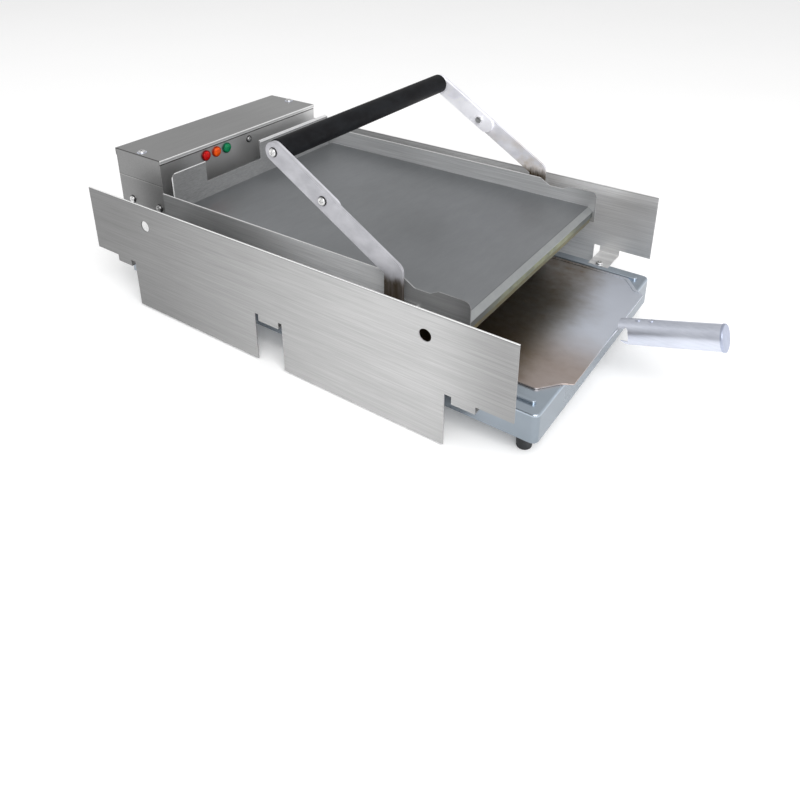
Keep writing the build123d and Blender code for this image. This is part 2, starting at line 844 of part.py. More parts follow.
def element_path():
    """Six straight runs joined by half-turns, with both ends at the rear."""
    end = platen_rear + terminal_length
    pieces = [Line((run_xs[0], end), (run_xs[0], element_front))]
    for index in range(5):
        at_front = index % 2 == 0
        y = element_front if at_front else element_rear
        here, there = (run_xs[index], y), (run_xs[index + 1], y)
        crest = y - element_pitch / 2 if at_front else y + element_pitch / 2
        pieces.append(ThreePointArc(here, ((here[0] + there[0]) / 2, crest), there))
        last = index == 4
        far = end if last else (element_rear if at_front else element_front)
        pieces.append(Line(there, (run_xs[index + 1], far)))
    return Pos(0, 0, heel_plate_top) * Wire(pieces)


def along_element(radius):
    path = element_path()
    start = Plane(origin=path @ 0, z_dir=path % 0)
    return sweep(start * Circle(radius), path=path)


def platen_cuts():
    """What both platen plates give up: the element's groove and the screws that clamp them."""
    top = platen_underside + platen_screw_length + over
    cuts = [along_element(element_radius + element_groove_clear)]
    return cuts + [rod_z(large_hole, platen_underside - over, top, x, y) for x, y in platen_screw_spots]


def wall_screw_holes(depth_small, depth_large):
    """Holes for the screws in one side wall, to these depths inside the wall's outer face."""
    outer, z = tray_outer + over, tray_screw_z
    small_ones = [rod_x(small_hole, tray_outer - depth_small, outer, y, z) for y in tray_screw_ys]
    return small_ones + [rod_x(large_hole, tray_outer - depth_large, outer, y, z) for y in lug_screw_ys]


def rear_screw_holes(depth):
    rear = platen_rear + tray_sheet
    return [rod_y(small_hole, rear - depth, rear + over, x, rear_screw_z) for x in rear_screw_xs]


def crown_plate():
    plate = slab(-platen_half, platen_half, platen_front, platen_rear, heel_plate_top, crown_plate_top)
    front, top = platen_front - over, crown_plate_top + over
    slope = make_face(Polyline(
        (front, crown_plate_top - crown_slope_drop), (platen_front + crown_slope_run, crown_plate_top),
        (platen_front + crown_slope_run, top), (front, top), close=True,
    ))
    plate -= upright(slope, -platen_half - over, platen_half + over)
    cuts = platen_cuts() + rear_screw_holes(tray_screw_length + over)
    cuts += both_sides(*wall_screw_holes(tray_screw_length + over, lug_screw_length + over))
    return drill(plate, cuts)


def heel_plate():
    front = platen_front + heel_plate_setback
    under, socket = platen_underside - over, platen_underside + guide_rod_socket
    plate = slab(-platen_half, platen_half, front, platen_rear, platen_underside, heel_plate_top)
    cuts = platen_cuts()
    cuts += [
        rod_z(large_head + hole_clear, under, platen_underside + large_head_height, x, y)
        for x, y in platen_screw_spots
    ]
    cuts += [rod_z(guide_rod_radius + press_clear, under, socket, x, y) for x, y in guide_spots]
    cuts.append(rod_y(bulb_radius + hole_clear, platen_rear - bulb_length, platen_rear + over, 0, bulb_z))
    return drill(plate, cuts)


def round_corners(face, radius, wanted):
    return fillet([corner for corner in face.vertices() if wanted(corner.X, corner.Y)], radius)


def tray_side_sketch():
    """A side wall of the tray. In front of the arm its top edge dips, and its front end is a little lower."""
    tail = platen_rear + tray_wall_tail
    low = platen_underside + tray_wall_skirt
    dip_start = pivot_y - dip_lead
    dip_end, dip_low = dip_start - dip_run, tray_wall_top - dip_depth
    front_top = tray_wall_top - tray_wall_front_drop
    face = make_face(Polyline(
        (tray_front, low), (tail, low), (tail, tray_wall_top), (dip_start, tray_wall_top),
        (dip_start - dip_slope, dip_low), (dip_end + dip_step, dip_low), (dip_end, front_top),
        (tray_front, front_top), close=True,
    ))
    face = round_corners(face, tray_wall_corner, lambda y, z: y < tray_front + 1 and z > low + 1)
    return round_corners(face, dip_blend, lambda y, z: dip_end - 1 < y < dip_start + 1)


def tray_side_wall():
    wall = upright(tray_side_sketch(), platen_half, tray_outer)
    return drill(wall, wall_screw_holes(tray_sheet + over, tray_sheet + over))


def tray_rear_wall():
    half = platen_half - rear_wall_inset
    low, top = platen_underside + tray_wall_skirt, crown_plate_top + rear_wall_rise
    near, far = platen_rear - over, platen_rear + tray_sheet + over
    wall = slab(-half, half, platen_rear, platen_rear + tray_sheet, low, top)
    wall = fillet(wall.edges().filter_by(Axis.Y).group_by(Axis.Z)[-1], rear_wall_corner)
    sill = crown_plate_top + window_sill_rise
    cuts = [slab(window_left, window_right, near, far, sill, top + over)]
    end_hole = element_radius + wall_hole_clear
    cuts += [rod_y(end_hole, near, far, x, heel_plate_top) for x in (run_xs[0], run_xs[-1])]
    cuts.append(rod_y(bulb_radius + wall_hole_clear, near, far, 0, bulb_z))
    return drill(wall, cuts + rear_screw_holes(tray_sheet + over))


def drop_lug():
    """A plate on the tray's side whose level slot is lifted by the pin on the handle's arm."""
    low, top = crank_z - crank_pin_radius - lug_margin, tray_screw_z + large_head + lug_top_margin
    lug = slab(tray_outer, lug_outer, lug_front, pivot_y, low, top)
    lug = fillet(lug.edges().filter_by(Axis.X), lug_corner)
    slot = bar_sketch(
        (slot_front - crank_play, crank_z), (crank_y + crank_play, crank_z),
        2 * (crank_pin_radius + crank_play),
    )
    lug -= upright(slot, tray_outer - over, lug_outer + over)
    for y in lug_screw_ys:
        lug -= rod_x(large_hole, tray_outer - over, lug_outer + over, y, tray_screw_z)
        lug -= rod_x(large_head + hole_clear, lug_outer - lug_thick / 2, lug_outer + over, y, tray_screw_z)
    return lug


def lug_screw(y):
    """A screw with its head sunk flush, because the arm swings close over it."""
    seat = lug_outer - lug_thick / 2
    head = rod_x(large_head, seat, lug_outer - press_clear, y, tray_screw_z)
    shank = rod_x(large_shank, seat - lug_screw_length, seat, y, tray_screw_z)
    return head + shank - rod_x(large_shank / 2, lug_outer - recess_depth, lug_outer, y, tray_screw_z)


def arm():
    """The long bar from grip to knee, the leg down to the pivot, and the ear for the lifting pin."""
    pivot = (pivot_y, pivot_z)
    sketch = bar_sketch(pivot, knee, arm_width) + bar_sketch(knee, grip_screw, arm_width)
    sketch += bar_sketch(pivot, (crank_y, crank_z), crank_ear)
    plate = upright(sketch, arm_inner, arm_outer)
    ends = (arm_inner - over, arm_outer + over)
    return drill(plate, [
        rod_x(pivot_radius + running_clear, *ends, *pivot),
        rod_x(crank_pin_radius + press_clear, *ends, crank_y, crank_z),
        rod_x(large_hole, *ends, *grip_screw),
        rod_x(large_hole, *ends, *stiffener_screw),
    ])


def inner_bar():
    """A short bar that doubles the arm's top end, from the grip to just past the second screw."""
    run, rise = grip_screw[0] - stiffener_screw[0], grip_screw[1] - stiffener_screw[1]
    share = inner_bar_overrun / hypot(run, rise)
    low = (stiffener_screw[0] - run * share, stiffener_screw[1] - rise * share)
    bar = upright(bar_sketch(low, grip_screw, arm_width), grip_half, arm_inner)
    ends = (grip_half - over, arm_inner + over)
    return drill(bar, [rod_x(large_hole, *ends, *spot) for spot in (grip_screw, stiffener_screw)])


def grip():
    tube = rod_x(grip_radius, seam - grip_half, grip_half - seam, *grip_screw)
    tube = fillet(tube.edges().filter_by(GeomType.CIRCLE), grip_edge)
    return tube - rod_x(grip_rod_radius + hole_clear, -grip_half, grip_half, *grip_screw)


def grip_rod():
    rod = rod_x(grip_rod_radius, -grip_half, grip_half, *grip_screw)
    bores = both_sides(rod_x(large_hole, grip_half - grip_screw_length, grip_half + over, *grip_screw))
    return drill(rod, bores)


def arm_screws():
    """Grip screws and stiffener bolts, heads outwards."""
    into_rod = arm_outer - grip_half + grip_screw_length - 2 * over
    through_nut = arm_outer - grip_half + stiffener_nut_height
    grip_one = Pos(arm_outer, *grip_screw) * facing_right * large_screw(into_rod)
    bolt = Pos(arm_outer, *stiffener_screw) * facing_right * large_screw(through_nut)
    return both_sides(grip_one, bolt)


def stiffener_nut():
    hexagon = Pos(*stiffener_screw) * RegularPolygon(large_head, 6)
    nut = upright(hexagon, grip_half - stiffener_nut_height, grip_half)
    ends = (grip_half - stiffener_nut_height - over, grip_half + over)
    return nut - rod_x(large_hole, *ends, *stiffener_screw)


def crank_pin():
    return rod_x(crank_pin_radius, tray_outer + arm_gap, arm_outer, crank_y, crank_z)


def blade_outline(inset=0.0):
    """The shovel's plan, or the line inside its side hems: a rectangle with its front corners cut off."""
    rear = neck_root + blade_length
    corner, side = blade_half - blade_corner_in, blade_half - inset
    turn = corner + blade_corner_in - blade_corner_out
    half = [
        (corner, neck_root), (turn - inset, neck_root + blade_corner_run + inset / 2),
        (side, neck_root + blade_shoulder + inset / 2), (side, rear),
    ]
    points = half + [(-x, y) for x, y in reversed(half)]
    face = make_face(Polyline(*points, close=True))
    return Pos(spatula_x, 0) * round_corners(face, blade_round, lambda x, y: neck_root + 1 < y < rear - 1)


def blade_hems():
    """The thicker rims down the blade's sides and round its cut corners."""
    hems = extrude(blade_outline() - blade_outline(blade_hem_width), amount=blade_hem)
    front = neck_root + blade_corner_run / 2
    ahead = Box(2 * blade_half, 2 * blade_corner_run, 4 * blade_hem)
    hems -= Pos(spatula_x, front - blade_corner_run, 0) * ahead
    return Pos(0, 0, blade_top) * hems


def along_tube(distance, rise):
    """A point in the Y-Z plane, this far along the handle tube's axis and this far above it."""
    return (
        tube_root_y - distance * cos(tilt) + rise * sin(tilt),
        tube_root_z + distance * sin(tilt) + rise * cos(tilt),
    )


def neck_profile():
    """The neck's sheet from the side: flat in the blade, a steep climb, then the tube's own slope."""
    climb = radians(neck_climb)
    tip_y, tip_z = along_tube(neck_tip, neck_seat)
    seat_y, seat_z = along_tube(0, neck_seat)
    across = (seat_z - blade_bottom) * cos(tilt) - (neck_root - seat_y) * sin(tilt)
    reach = across / sin(climb - tilt)
    bend = (neck_root - reach * cos(climb), blade_bottom + reach * sin(climb))
    under = [(neck_root + neck_half / 2, blade_bottom), (neck_root, blade_bottom), bend, (tip_y, tip_z)]
    foot_miter, bend_miter = blade_sheet * tan(climb / 2), blade_sheet * tan((climb - tilt) / 2)
    upper = [
        (neck_root + neck_half / 2, blade_top), (neck_root + foot_miter, blade_top),
        (
            bend[0] + blade_sheet * sin(tilt) + bend_miter * cos(tilt),
            bend[1] + blade_sheet * cos(tilt) - bend_miter * sin(tilt),
        ),
        (tip_y + blade_sheet * sin(tilt), tip_z + blade_sheet * cos(tilt)),
    ]
    face = make_face(Polyline(*under, *reversed(upper), close=True))
    face = round_corners(face, neck_bend, lambda y, z: hypot(y - bend[0], z - bend[1]) < blade_sheet / 2)
    return round_corners(
        face, neck_bend + blade_sheet, lambda y, z: hypot(y - upper[2][0], z - upper[2][1]) < blade_sheet / 2
    )


def spatula_blade():
    """One sheet: a flat blade with hemmed sides, and a neck that climbs into the handle tube."""
    blade = Pos(0, 0, blade_bottom) * extrude(blade_outline(), amount=blade_sheet) + blade_hems()
    half = [
        (neck_half, neck_root + neck_half), (neck_half, -neck_taper_start),
        (neck_end_half, -neck_taper_end), (neck_end_half, tube_root_y - 2 * neck_tip),
    ]
    plan = make_face(Polyline(*half, *((-x, y) for x, y in reversed(half)), close=True))
    neck = upright(neck_profile(), spatula_x - neck_half, spatula_x + neck_half)
    blade += neck & Pos(spatula_x, 0) * extrude(plan, amount=4 * base_top)
    return drill(blade, rivet_holes())


def tube_plane(distance, rise=0.0):
    """A plane square to the handle tube, this far along its axis and this far above it."""
    return Plane(
        origin=(spatula_x, *along_tube(distance, rise)), x_dir=(1, 0, 0), z_dir=(0, -cos(tilt), sin(tilt))
    )


def rivet_pin(distance, radius, length):
    """A round pin square to the tube's axis, from just under the neck upwards."""
    start = tube_plane(distance, neck_seat - rivet_head_height).origin
    return extrude(Plane(origin=start, z_dir=(0, sin(tilt), cos(tilt))) * Circle(radius), amount=length)


def rivet_holes():
    return [rivet_pin(place, rivet_radius + hole_clear, 2 * tube_radius) for place in rivet_places]


def spatula_tube():
    ring = Circle(tube_radius) - Circle(tube_radius - tube_wall)
    tube = extrude(tube_plane(-tube_lead) * ring, amount=tube_length + tube_lead)
    notch = make_face(Polyline(*(along_tube(*spot) for spot in tube_notch), close=True))
    tube -= upright(notch, spatula_x - 2 * tube_radius, spatula_x + 2 * tube_radius)
    return drill(tube, rivet_holes())


def spatula_rivet(distance):
    pin = rivet_pin(distance, rivet_radius, rivet_head_height + tube_radius - neck_seat)
    seat = tube_plane(distance, tube_radius).origin
    head = Plane(origin=seat, z_dir=(0, sin(tilt), cos(tilt))) * Circle(rivet_head)
    return pin + extrude(head, amount=rivet_head_height)


def spatula_cap():
    cap = extrude(tube_plane(tube_length) * Circle(cap_radius), amount=cap_thick)
    cap = fillet(cap.edges().sort_by(Axis.Y)[:1], cap_round)
    plug = tube_plane(tube_length - cap_plug) * Circle(tube_radius - tube_wall - hole_clear)
    return cap + extrude(plug, amount=cap_plug)


def write_base():
    keep("base_pan", base_pan())
    keep("guide_ribs", *both_sides(guide_rib()))
    keep("feet", *(foot(x, y) for x, y in foot_spots))
    keep("foot_screws", *(
        Pos(x, y, foot_height + base_sheet) * large_screw(foot_screw_length) for x, y in foot_spots
    ))
    keep("right_side_panel", side_panel())
    keep("left_side_panel", other_side(side_panel()))
    keep("panel_screws", *(
        Pos(x, y, base_top + panel_sheet) * large_screw(sheet_screw_length) for x, y in tab_screw_spots
    ))
    keep("guide_bushes", *(guide_bush(x, y) for x, y in guide_spots))
    keep("lift_springs", *(lift_spring(x, y) for x, y in guide_spots))
    keep("right_handle_bracket", handle_bracket())
    keep("left_handle_bracket", other_side(handle_bracket()))
    through_foot = sheet_screw_length + bracket_inner - base_half
    keep("bracket_screws", *both_sides(*(
        Pos(bracket_outer, y, bracket_screw_z) * facing_right * large_screw(through_foot)
        for y in bracket_screw_ys
    )))
    keep("pivot_pins", *both_sides(pivot_pin()))


def write_control_box():
    keep("wire_duct", wire_duct())
    lower = [Pos(x, y, base_top + duct_sheet) * large_screw(duct_screw_length) for x, y in duct_screw_spots]
    upper = [Pos(x, y, shelf_top) * large_screw(duct_screw_length) for x, y in duct_screw_spots]
    keep("duct_screws", *lower, *upper)
    keep("control_box_body", box_body())
    keep("control_box_cover", box_cover())
    keep("cover_screws", *(
        Pos(x, y, box_top) * large_screw(cover_screw_length) for x, y in cover_screw_spots
    ))
    keep("box_side_screws", *both_sides(*(
        Pos(box_half, y, side_screw_z) * facing_right * large_screw(sheet_screw_length)
        for y in side_screw_ys
    )))
    face_screw = facing_front * small_screw(sheet_screw_length)
    keep("box_face_screw", Pos(face_screw_x, box_front, lamp_z) * face_screw)
    for colour, x in zip(("red", "amber", "green"), lamp_xs):
        keep(f"{colour}_lamp_lens", lamp_lens(x))
    keep("lamp_bodies", *(lamp_body(x) for x in lamp_xs))
    keep("contactor", contactor())
    keep("terminal_block", terminal_block())
    fixing_z = shelf_top + fixing_length
    keep("component_screws", *(
        Pos(x, y, fixing_z) * small_screw(fixing_length + box_sheet)
        for x, y in contactor_fixings + terminal_fixings
    ))
    keep("thermostat", thermostat())
    keep("thermostat_knob", thermostat_knob())
    keep("switch_frame", rocker_frame())
    keep("power_rocker", rocker())
    keep("cord_gland", cord_gland())


def write_platen():
    keep("crown_plate", crown_plate())
    keep("heel_plate", heel_plate())
    keep("heating_element", along_element(element_radius))
    seat = platen_underside + large_head_height
    clamp_screw = Rot(180, 0, 0) * large_screw(platen_screw_length - large_head_height)
    keep("platen_screws", *(Pos(x, y, seat) * clamp_screw for x, y in platen_screw_spots))
    bulb = (platen_rear - bulb_length + over, platen_rear + terminal_length)
    keep("thermostat_bulb", rod_y(bulb_radius, *bulb, 0, bulb_z))
    keep("right_tray_wall", tray_side_wall())
    keep("left_tray_wall", other_side(tray_side_wall()))
    keep("rear_tray_wall", tray_rear_wall())
    wall_screw = small_screw(tray_screw_length)
    side_screws = [Pos(tray_outer, y, tray_screw_z) * facing_right * wall_screw for y in tray_screw_ys]
    rear = platen_rear + tray_sheet
    rear_screws = [Pos(x, rear, rear_screw_z) * facing_rear * wall_screw for x in rear_screw_xs]
    keep("tray_screws", *both_sides(*side_screws), *rear_screws)
    keep("right_drop_lug", drop_lug())
    keep("left_drop_lug", other_side(drop_lug()))
    keep("lug_screws", *both_sides(*(lug_screw(y) for y in lug_screw_ys)))
    ends = (base_top - bush_overlap, platen_underside + guide_rod_socket)
    keep("guide_rods", *(rod_z(guide_rod_radius, *ends, x, y) for x, y in guide_spots))


def write_handle():
    keep("right_arm", arm())
    keep("left_arm", other_side(arm()))
    keep("right_inner_bar", inner_bar())
    keep("left_inner_bar", other_side(inner_bar()))
    keep("grip", grip())
    keep("grip_rod", grip_rod())
    keep("arm_screws", *arm_screws())
    keep("arm_nuts", *both_sides(stiffener_nut()))
    keep("crank_pins", *both_sides(crank_pin()))


def write_spatula():
    keep("spatula_blade", spatula_blade())
    keep("spatula_tube", spatula_tube())
    keep("spatula_rivets", *(spatula_rivet(place) for place in rivet_places))
    keep("spatula_end_cap", spatula_cap())


os.makedirs("parts", exist_ok=True)
write_base()
write_control_box()
write_platen()
write_handle()
write_spatula()
print("origin is", round(y_middle, 2), "mm behind the panels' front ends")
print("part runs in Y from", round(part_front - y_middle, 2), "to", round(part_rear - y_middle, 2))
print("least gap between the turns of a lifting spring", round(spring_gap(), 2), "mm")
print("crank radius", round(crank_radius, 3), "mm, lifting pin at Y", round(crank_y - y_middle, 2))
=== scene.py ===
import bpy
import json
from math import cos, radians, sin
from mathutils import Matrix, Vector

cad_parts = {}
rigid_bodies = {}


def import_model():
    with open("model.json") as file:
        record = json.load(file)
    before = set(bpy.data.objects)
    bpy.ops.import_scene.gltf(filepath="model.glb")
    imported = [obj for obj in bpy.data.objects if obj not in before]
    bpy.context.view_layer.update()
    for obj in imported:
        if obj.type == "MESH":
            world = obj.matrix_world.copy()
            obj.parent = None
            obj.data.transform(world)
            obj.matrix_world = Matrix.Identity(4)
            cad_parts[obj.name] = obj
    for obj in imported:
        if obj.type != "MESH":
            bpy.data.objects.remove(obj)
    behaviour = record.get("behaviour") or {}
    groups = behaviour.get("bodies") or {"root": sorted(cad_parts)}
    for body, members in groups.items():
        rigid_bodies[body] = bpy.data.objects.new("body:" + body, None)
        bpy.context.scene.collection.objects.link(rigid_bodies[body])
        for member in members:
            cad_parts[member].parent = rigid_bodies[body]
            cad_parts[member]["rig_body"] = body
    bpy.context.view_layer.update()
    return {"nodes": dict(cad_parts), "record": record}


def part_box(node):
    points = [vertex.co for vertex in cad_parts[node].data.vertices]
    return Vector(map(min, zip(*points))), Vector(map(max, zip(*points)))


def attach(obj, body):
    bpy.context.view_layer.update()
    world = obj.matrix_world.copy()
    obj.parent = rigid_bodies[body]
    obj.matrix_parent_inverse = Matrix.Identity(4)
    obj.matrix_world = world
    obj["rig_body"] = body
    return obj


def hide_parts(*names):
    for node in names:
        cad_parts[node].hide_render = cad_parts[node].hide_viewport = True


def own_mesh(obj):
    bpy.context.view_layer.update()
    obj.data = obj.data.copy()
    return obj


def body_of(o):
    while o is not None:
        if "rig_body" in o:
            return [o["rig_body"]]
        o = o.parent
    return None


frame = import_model()
mm = 0.001

# The camera stands at the operator's left, in front and above
view = {
    "place": (-0.8003, -0.5376, 0.6088), "turn": -55.23, "down": 24.12,
    "lens": 34.37, "shiftDown": 0.25, "reach": 50.0,
}


def makeCamera():
    turn, down = radians(view["turn"]), radians(view["down"])
    back = Vector((sin(turn) * cos(down), -cos(turn) * cos(down), sin(down)))
    bpy.ops.object.camera_add(location=view["place"])
    camera = bpy.context.object
    camera.rotation_euler = (-back).to_track_quat("-Z", "Y").to_euler()
    camera.data.lens = view["lens"]
    camera.data.shift_y = -view["shiftDown"]
    camera.data.dof.use_dof = False
    camera.data.clip_end = view["reach"]
    bpy.context.scene.camera = camera


def nothingSelected():
    for thing in bpy.context.selected_objects:
        thing.select_set(False)


def onlySelect(piece):
    nothingSelected()
    piece.select_set(True)
    bpy.context.view_layer.objects.active = piece


makeCamera()
print("camera set")


# Shader maths: a Wire is one socket, and an expression on Wires adds Math nodes
class Wire:
    def __init__(self, tree, socket=None):
        self.tree = tree
        self.socket = socket

    def node(self, kind, settings=None, sockets=None, out=0):
        made = self.tree.nodes.new(kind)
        for key, value in (settings or {}).items():
            setattr(made, key, value)
        for key, value in (sockets or {}).items():
            if isinstance(value, Wire):
                self.tree.links.new(value.socket, made.inputs[key])
            else:
                made.inputs[key].default_value = value
        return Wire(self.tree, made.outputs[out])

    def math(self, operation, *values):
        return self.node("ShaderNodeMath", {"operation": operation}, dict(enumerate(values)))

    def __add__(self, other):
        return self.math("ADD", self, other)

    def __radd__(self, other):
        return self.math("ADD", other, self)

    def __sub__(self, other):
        return self.math("SUBTRACT", self, other)

    def __rsub__(self, other):
        return self.math("SUBTRACT", other, self)

    def __mul__(self, other):
        return self.math("MULTIPLY", self, other)

    def __rmul__(self, other):
        return self.math("MULTIPLY", other, self)

    def axis(self, name):
        return self.node("ShaderNodeSeparateXYZ", None, {"Vector": self}, name)

    # A noise's scale is one number, or three where it is drawn out along an axis
    def noise(self, scale, detail=3.0, rough=0.55):
        scales = scale if isinstance(scale, tuple) else (scale, scale, scale)
        stretched = self.node("ShaderNodeVectorMath", {"operation": "MULTIPLY"}, {0: self, 1: scales})
        sockets = {"Vector": stretched, "Scale": 1.0, "Detail": detail, "Roughness": rough}
        return self.node("ShaderNodeTexNoise", None, sockets)

    # A step rises smoothly from 0 to 1 between two values, and fall goes from 1 to 0
    def step(self, low, high):
        sockets = {"Value": self, "From Min": low, "From Max": high}
        return self.node("ShaderNodeMapRange", {"interpolation_type": "SMOOTHSTEP"}, sockets)

    def fall(self, low, high):
        return 1 - self.step(low, high)

    # A band rises between the first two values and falls between the last two
    def band(self, low, full, fade, gone):
        return self.step(low, full) * self.fall(fade, gone)

    def scaled(self, start, rise):
        return start + self * rise

    def bump(self, depth, strength=1.0):
        return self.node("ShaderNodeBump", None, {"Height": self, "Distance": depth, "Strength": strength})


# Wires are added up by their shares
def shared(shares, *wires):
    total = wires[0] * shares[0]
    for share, wire in zip(shares[1:], wires[1:]):
        total = total + wire * share
    return total


# A colour is a Wire, three numbers, or one number for a grey
def colourOf(value):
    if isinstance(value, Wire):
        return value
    return (*value, 1.0) if isinstance(value, tuple) else (value, value, value, 1.0)


# A Mix node's colour sockets share their names with its number sockets, so they go by index here
def mixColour(where, first, second, blend="MIX"):
    settings = {"data_type": "RGBA", "blend_type": blend}
    return where.node("ShaderNodeMix", settings, {0: where, 6: colourOf(first), 7: colourOf(second)}, 2)


def strengthened(where, colour, strength):
    return mixColour(where, colour, strength, "MULTIPLY")


# Each tone of painted light or shade is an axis, where it starts, where it is full, and what it multiplies
# the colour by
def toned(colour, place, tones):
    for axis, start, full, strength in tones:
        colour = strengthened(place.axis(axis).step(start, full), colour, strength)
    return colour


# Marks go one over the other, each where its wire says, with its share and its tone
def marked(colour, *marks):
    for where, mark in marks:
        colour = mixColour(where * mark["share"], colour, mark["tone"])
    return colour


def makeMaterial(name, fixed, paint):
    material = bpy.data.materials.new(name)
    material.use_nodes = True
    tree = material.node_tree
    shader = tree.nodes["Principled BSDF"]
    for socket, value in fixed.items():
        shader.inputs[socket].default_value = value
    place = Wire(tree).node("ShaderNodeTexCoord", out="Object")
    for socket, wire in paint(place).items():
        tree.links.new(wire.socket, shader.inputs[socket])
    return material


# Brushed sheet has hair lines and bands along one axis under a faint haze. Places are in metres
alongY = {
    "hair": ((260.0, 16.0, 1500.0), 2.0), "band": ((90.0, 9.0, 420.0), 3.0), "haze": ((6.0, 3.0, 9.0), 2.0),
}
alongX = {
    "hair": ((16.0, 1500.0, 1500.0), 2.0), "band": ((9.0, 420.0, 420.0), 3.0), "haze": ((3.0, 7.0, 9.0), 2.0),
}
streaks = {
    "shares": (0.5, 0.35, 0.3), "spread": (0.36, 0.80), "roughShares": (0.6, 0.4), "bumpShares": (0.7, 0.3),
}


def brushedPaint(grain, look, tint=(1.0, 1.0, 1.0)):
    def paint(place):
        hair, band, haze = (place.noise(*grain[layer]) for layer in ("hair", "band", "haze"))
        mixed = shared(streaks["shares"], hair, band, haze).step(*streaks["spread"])
        dark, light = (tuple(look[tone] * part for part in tint) for tone in ("dark", "light"))
        colour = mixColour(mixed, dark, light)
        if "dulled" in look:  # painted shade: the sheet is made darker towards the rear
            dulled = place.axis("Y").step(*look["dulled"]) * haze.scaled(*look["dullShares"])
            colour = mixColour(dulled, colour, mixColour(mixed, *look["dullTones"]))
        return {
            "Base Color": toned(colour, place, look.get("tones", ())),
            "Roughness": shared(streaks["roughShares"], band, haze).scaled(*look["rough"]),
            "Normal": shared(streaks["bumpShares"], hair, band).bump(look["depth"]),
        }

    return paint


fitting = {"dark": 0.42, "light": 0.62, "rough": (0.28, 0.2), "depth": 0.00004}

# The side panels' cut edges have a painted highlight, with a fine line of painted shade below them
panel = {
    "dark": 0.405, "light": 0.56, "rough": (0.30, 0.16), "depth": 0.00006,
    # painted shade: darker towards the rear
    "dulled": (-0.16, 0.40), "dullShares": (0.7, 0.5), "dullTones": (0.164, 0.2255),
    # painted light on the far panel and painted shade at the front end
    "tones": (("X", 0.1, 0.2, 1.75), ("Y", -0.17, -0.27, 0.64)),
    "farTop": (0.150, 0.170), "farSide": (0.0, 0.1), "farStrength": 1.35,
    "lineAt": (0.1692, 0.1696, 0.1702, 0.1706), "line": {"share": 0.45, "tone": 0.12},
    "rimAt": (0.1706, 0.1709), "rim": {"share": 1.0, "tone": 0.92},
}


def panelPaint(place):
    plain = brushedPaint(alongY, panel)(place)
    across, height = place.axis("X"), place.axis("Z")
    # painted light: the far panel is made lighter towards its top
    farTop = height.step(*panel["farTop"]) * across.step(*panel["farSide"])
    plain["Base Color"] = marked(
        strengthened(farTop, plain["Base Color"], panel["farStrength"]),
        # a fine line of painted shade below the top edge, and a painted highlight on the edge
        (height.band(*panel["lineAt"]), panel["line"]),
        (height.step(*panel["rimAt"]), panel["rim"]),
    )
    return plain


# The tray's near wall has a painted sheen, its upper edges have painted highlights, and its rear wall has a
# line of painted shade below them
tray = {
    "dark": 0.28, "light": 0.41, "tint": (0.98, 0.99, 1.0), "rough": (0.40, 0.16), "depth": 0.00005,
    # painted light on the far wall and painted shade towards the front
    "tones": (("X", 0.172, 0.176, 1.6), ("Y", -0.15, -0.205, 0.6)),
    "sideFrom": (0.0295, 0.0310), "nearSide": (0.0, 0.1),
    "glossyRear": (0.20, -0.01), "glossyFront": (-0.108, -0.096), "glossyStrength": 2.5,
    "sideRimAt": (0.1756, 0.1759), "sideRim": {"share": 1.0, "tone": 0.80},
    "hemFrom": (0.0040, 0.0050), "hemAt": (0.2004, 0.2007), "hem": {"share": 1.0, "tone": 0.88},
    "lineAt": (0.1991, 0.1994, 0.2000, 0.2004), "line": {"share": 0.6, "tone": 0.08},
    "leftEndTo": (-0.165, -0.05), "leftEnd": {"share": 0.3, "tone": 0.10},
    "rearRimAt": (0.2036, 0.2039), "rearCorner": (-0.1690, -0.1686), "either": (0.4, 0.6),
    "rearRim": {"share": 1.0, "tone": 0.90},
}


def trayPaint(place):
    plain = brushedPaint(alongY, tray, tray["tint"])(place)
    across, along, height = (place.axis(name) for name in "XYZ")
    onSide = (across * across).step(*tray["sideFrom"])
    onRear = 1 - onSide
    onHem = onRear * across.step(*tray["hemFrom"])
    # painted sheen: a lighter stretch of the near wall
    paintedSheen = along.step(*tray["glossyRear"]) * along.step(*tray["glossyFront"]) * onSide
    rearRim = height.step(*tray["rearRimAt"]) + across.fall(*tray["rearCorner"])
    plain["Base Color"] = marked(
        strengthened(paintedSheen * across.fall(*tray["nearSide"]), plain["Base Color"], tray["glossyStrength"]),
        # painted highlights on the upper edges and hem, a line of painted shade below the hem; the rear wall
        # darkens towards its left end
        (height.step(*tray["sideRimAt"]) * onSide, tray["sideRim"]),
        (height.band(*tray["lineAt"]) * onHem, tray["line"]),
        (onRear * across.fall(*tray["leftEndTo"]), tray["leftEnd"]),
        (height.step(*tray["hemAt"]) * onHem, tray["hem"]),
        (rearRim.step(*tray["either"]) * onRear, tray["rearRim"]),
    )
    return plain


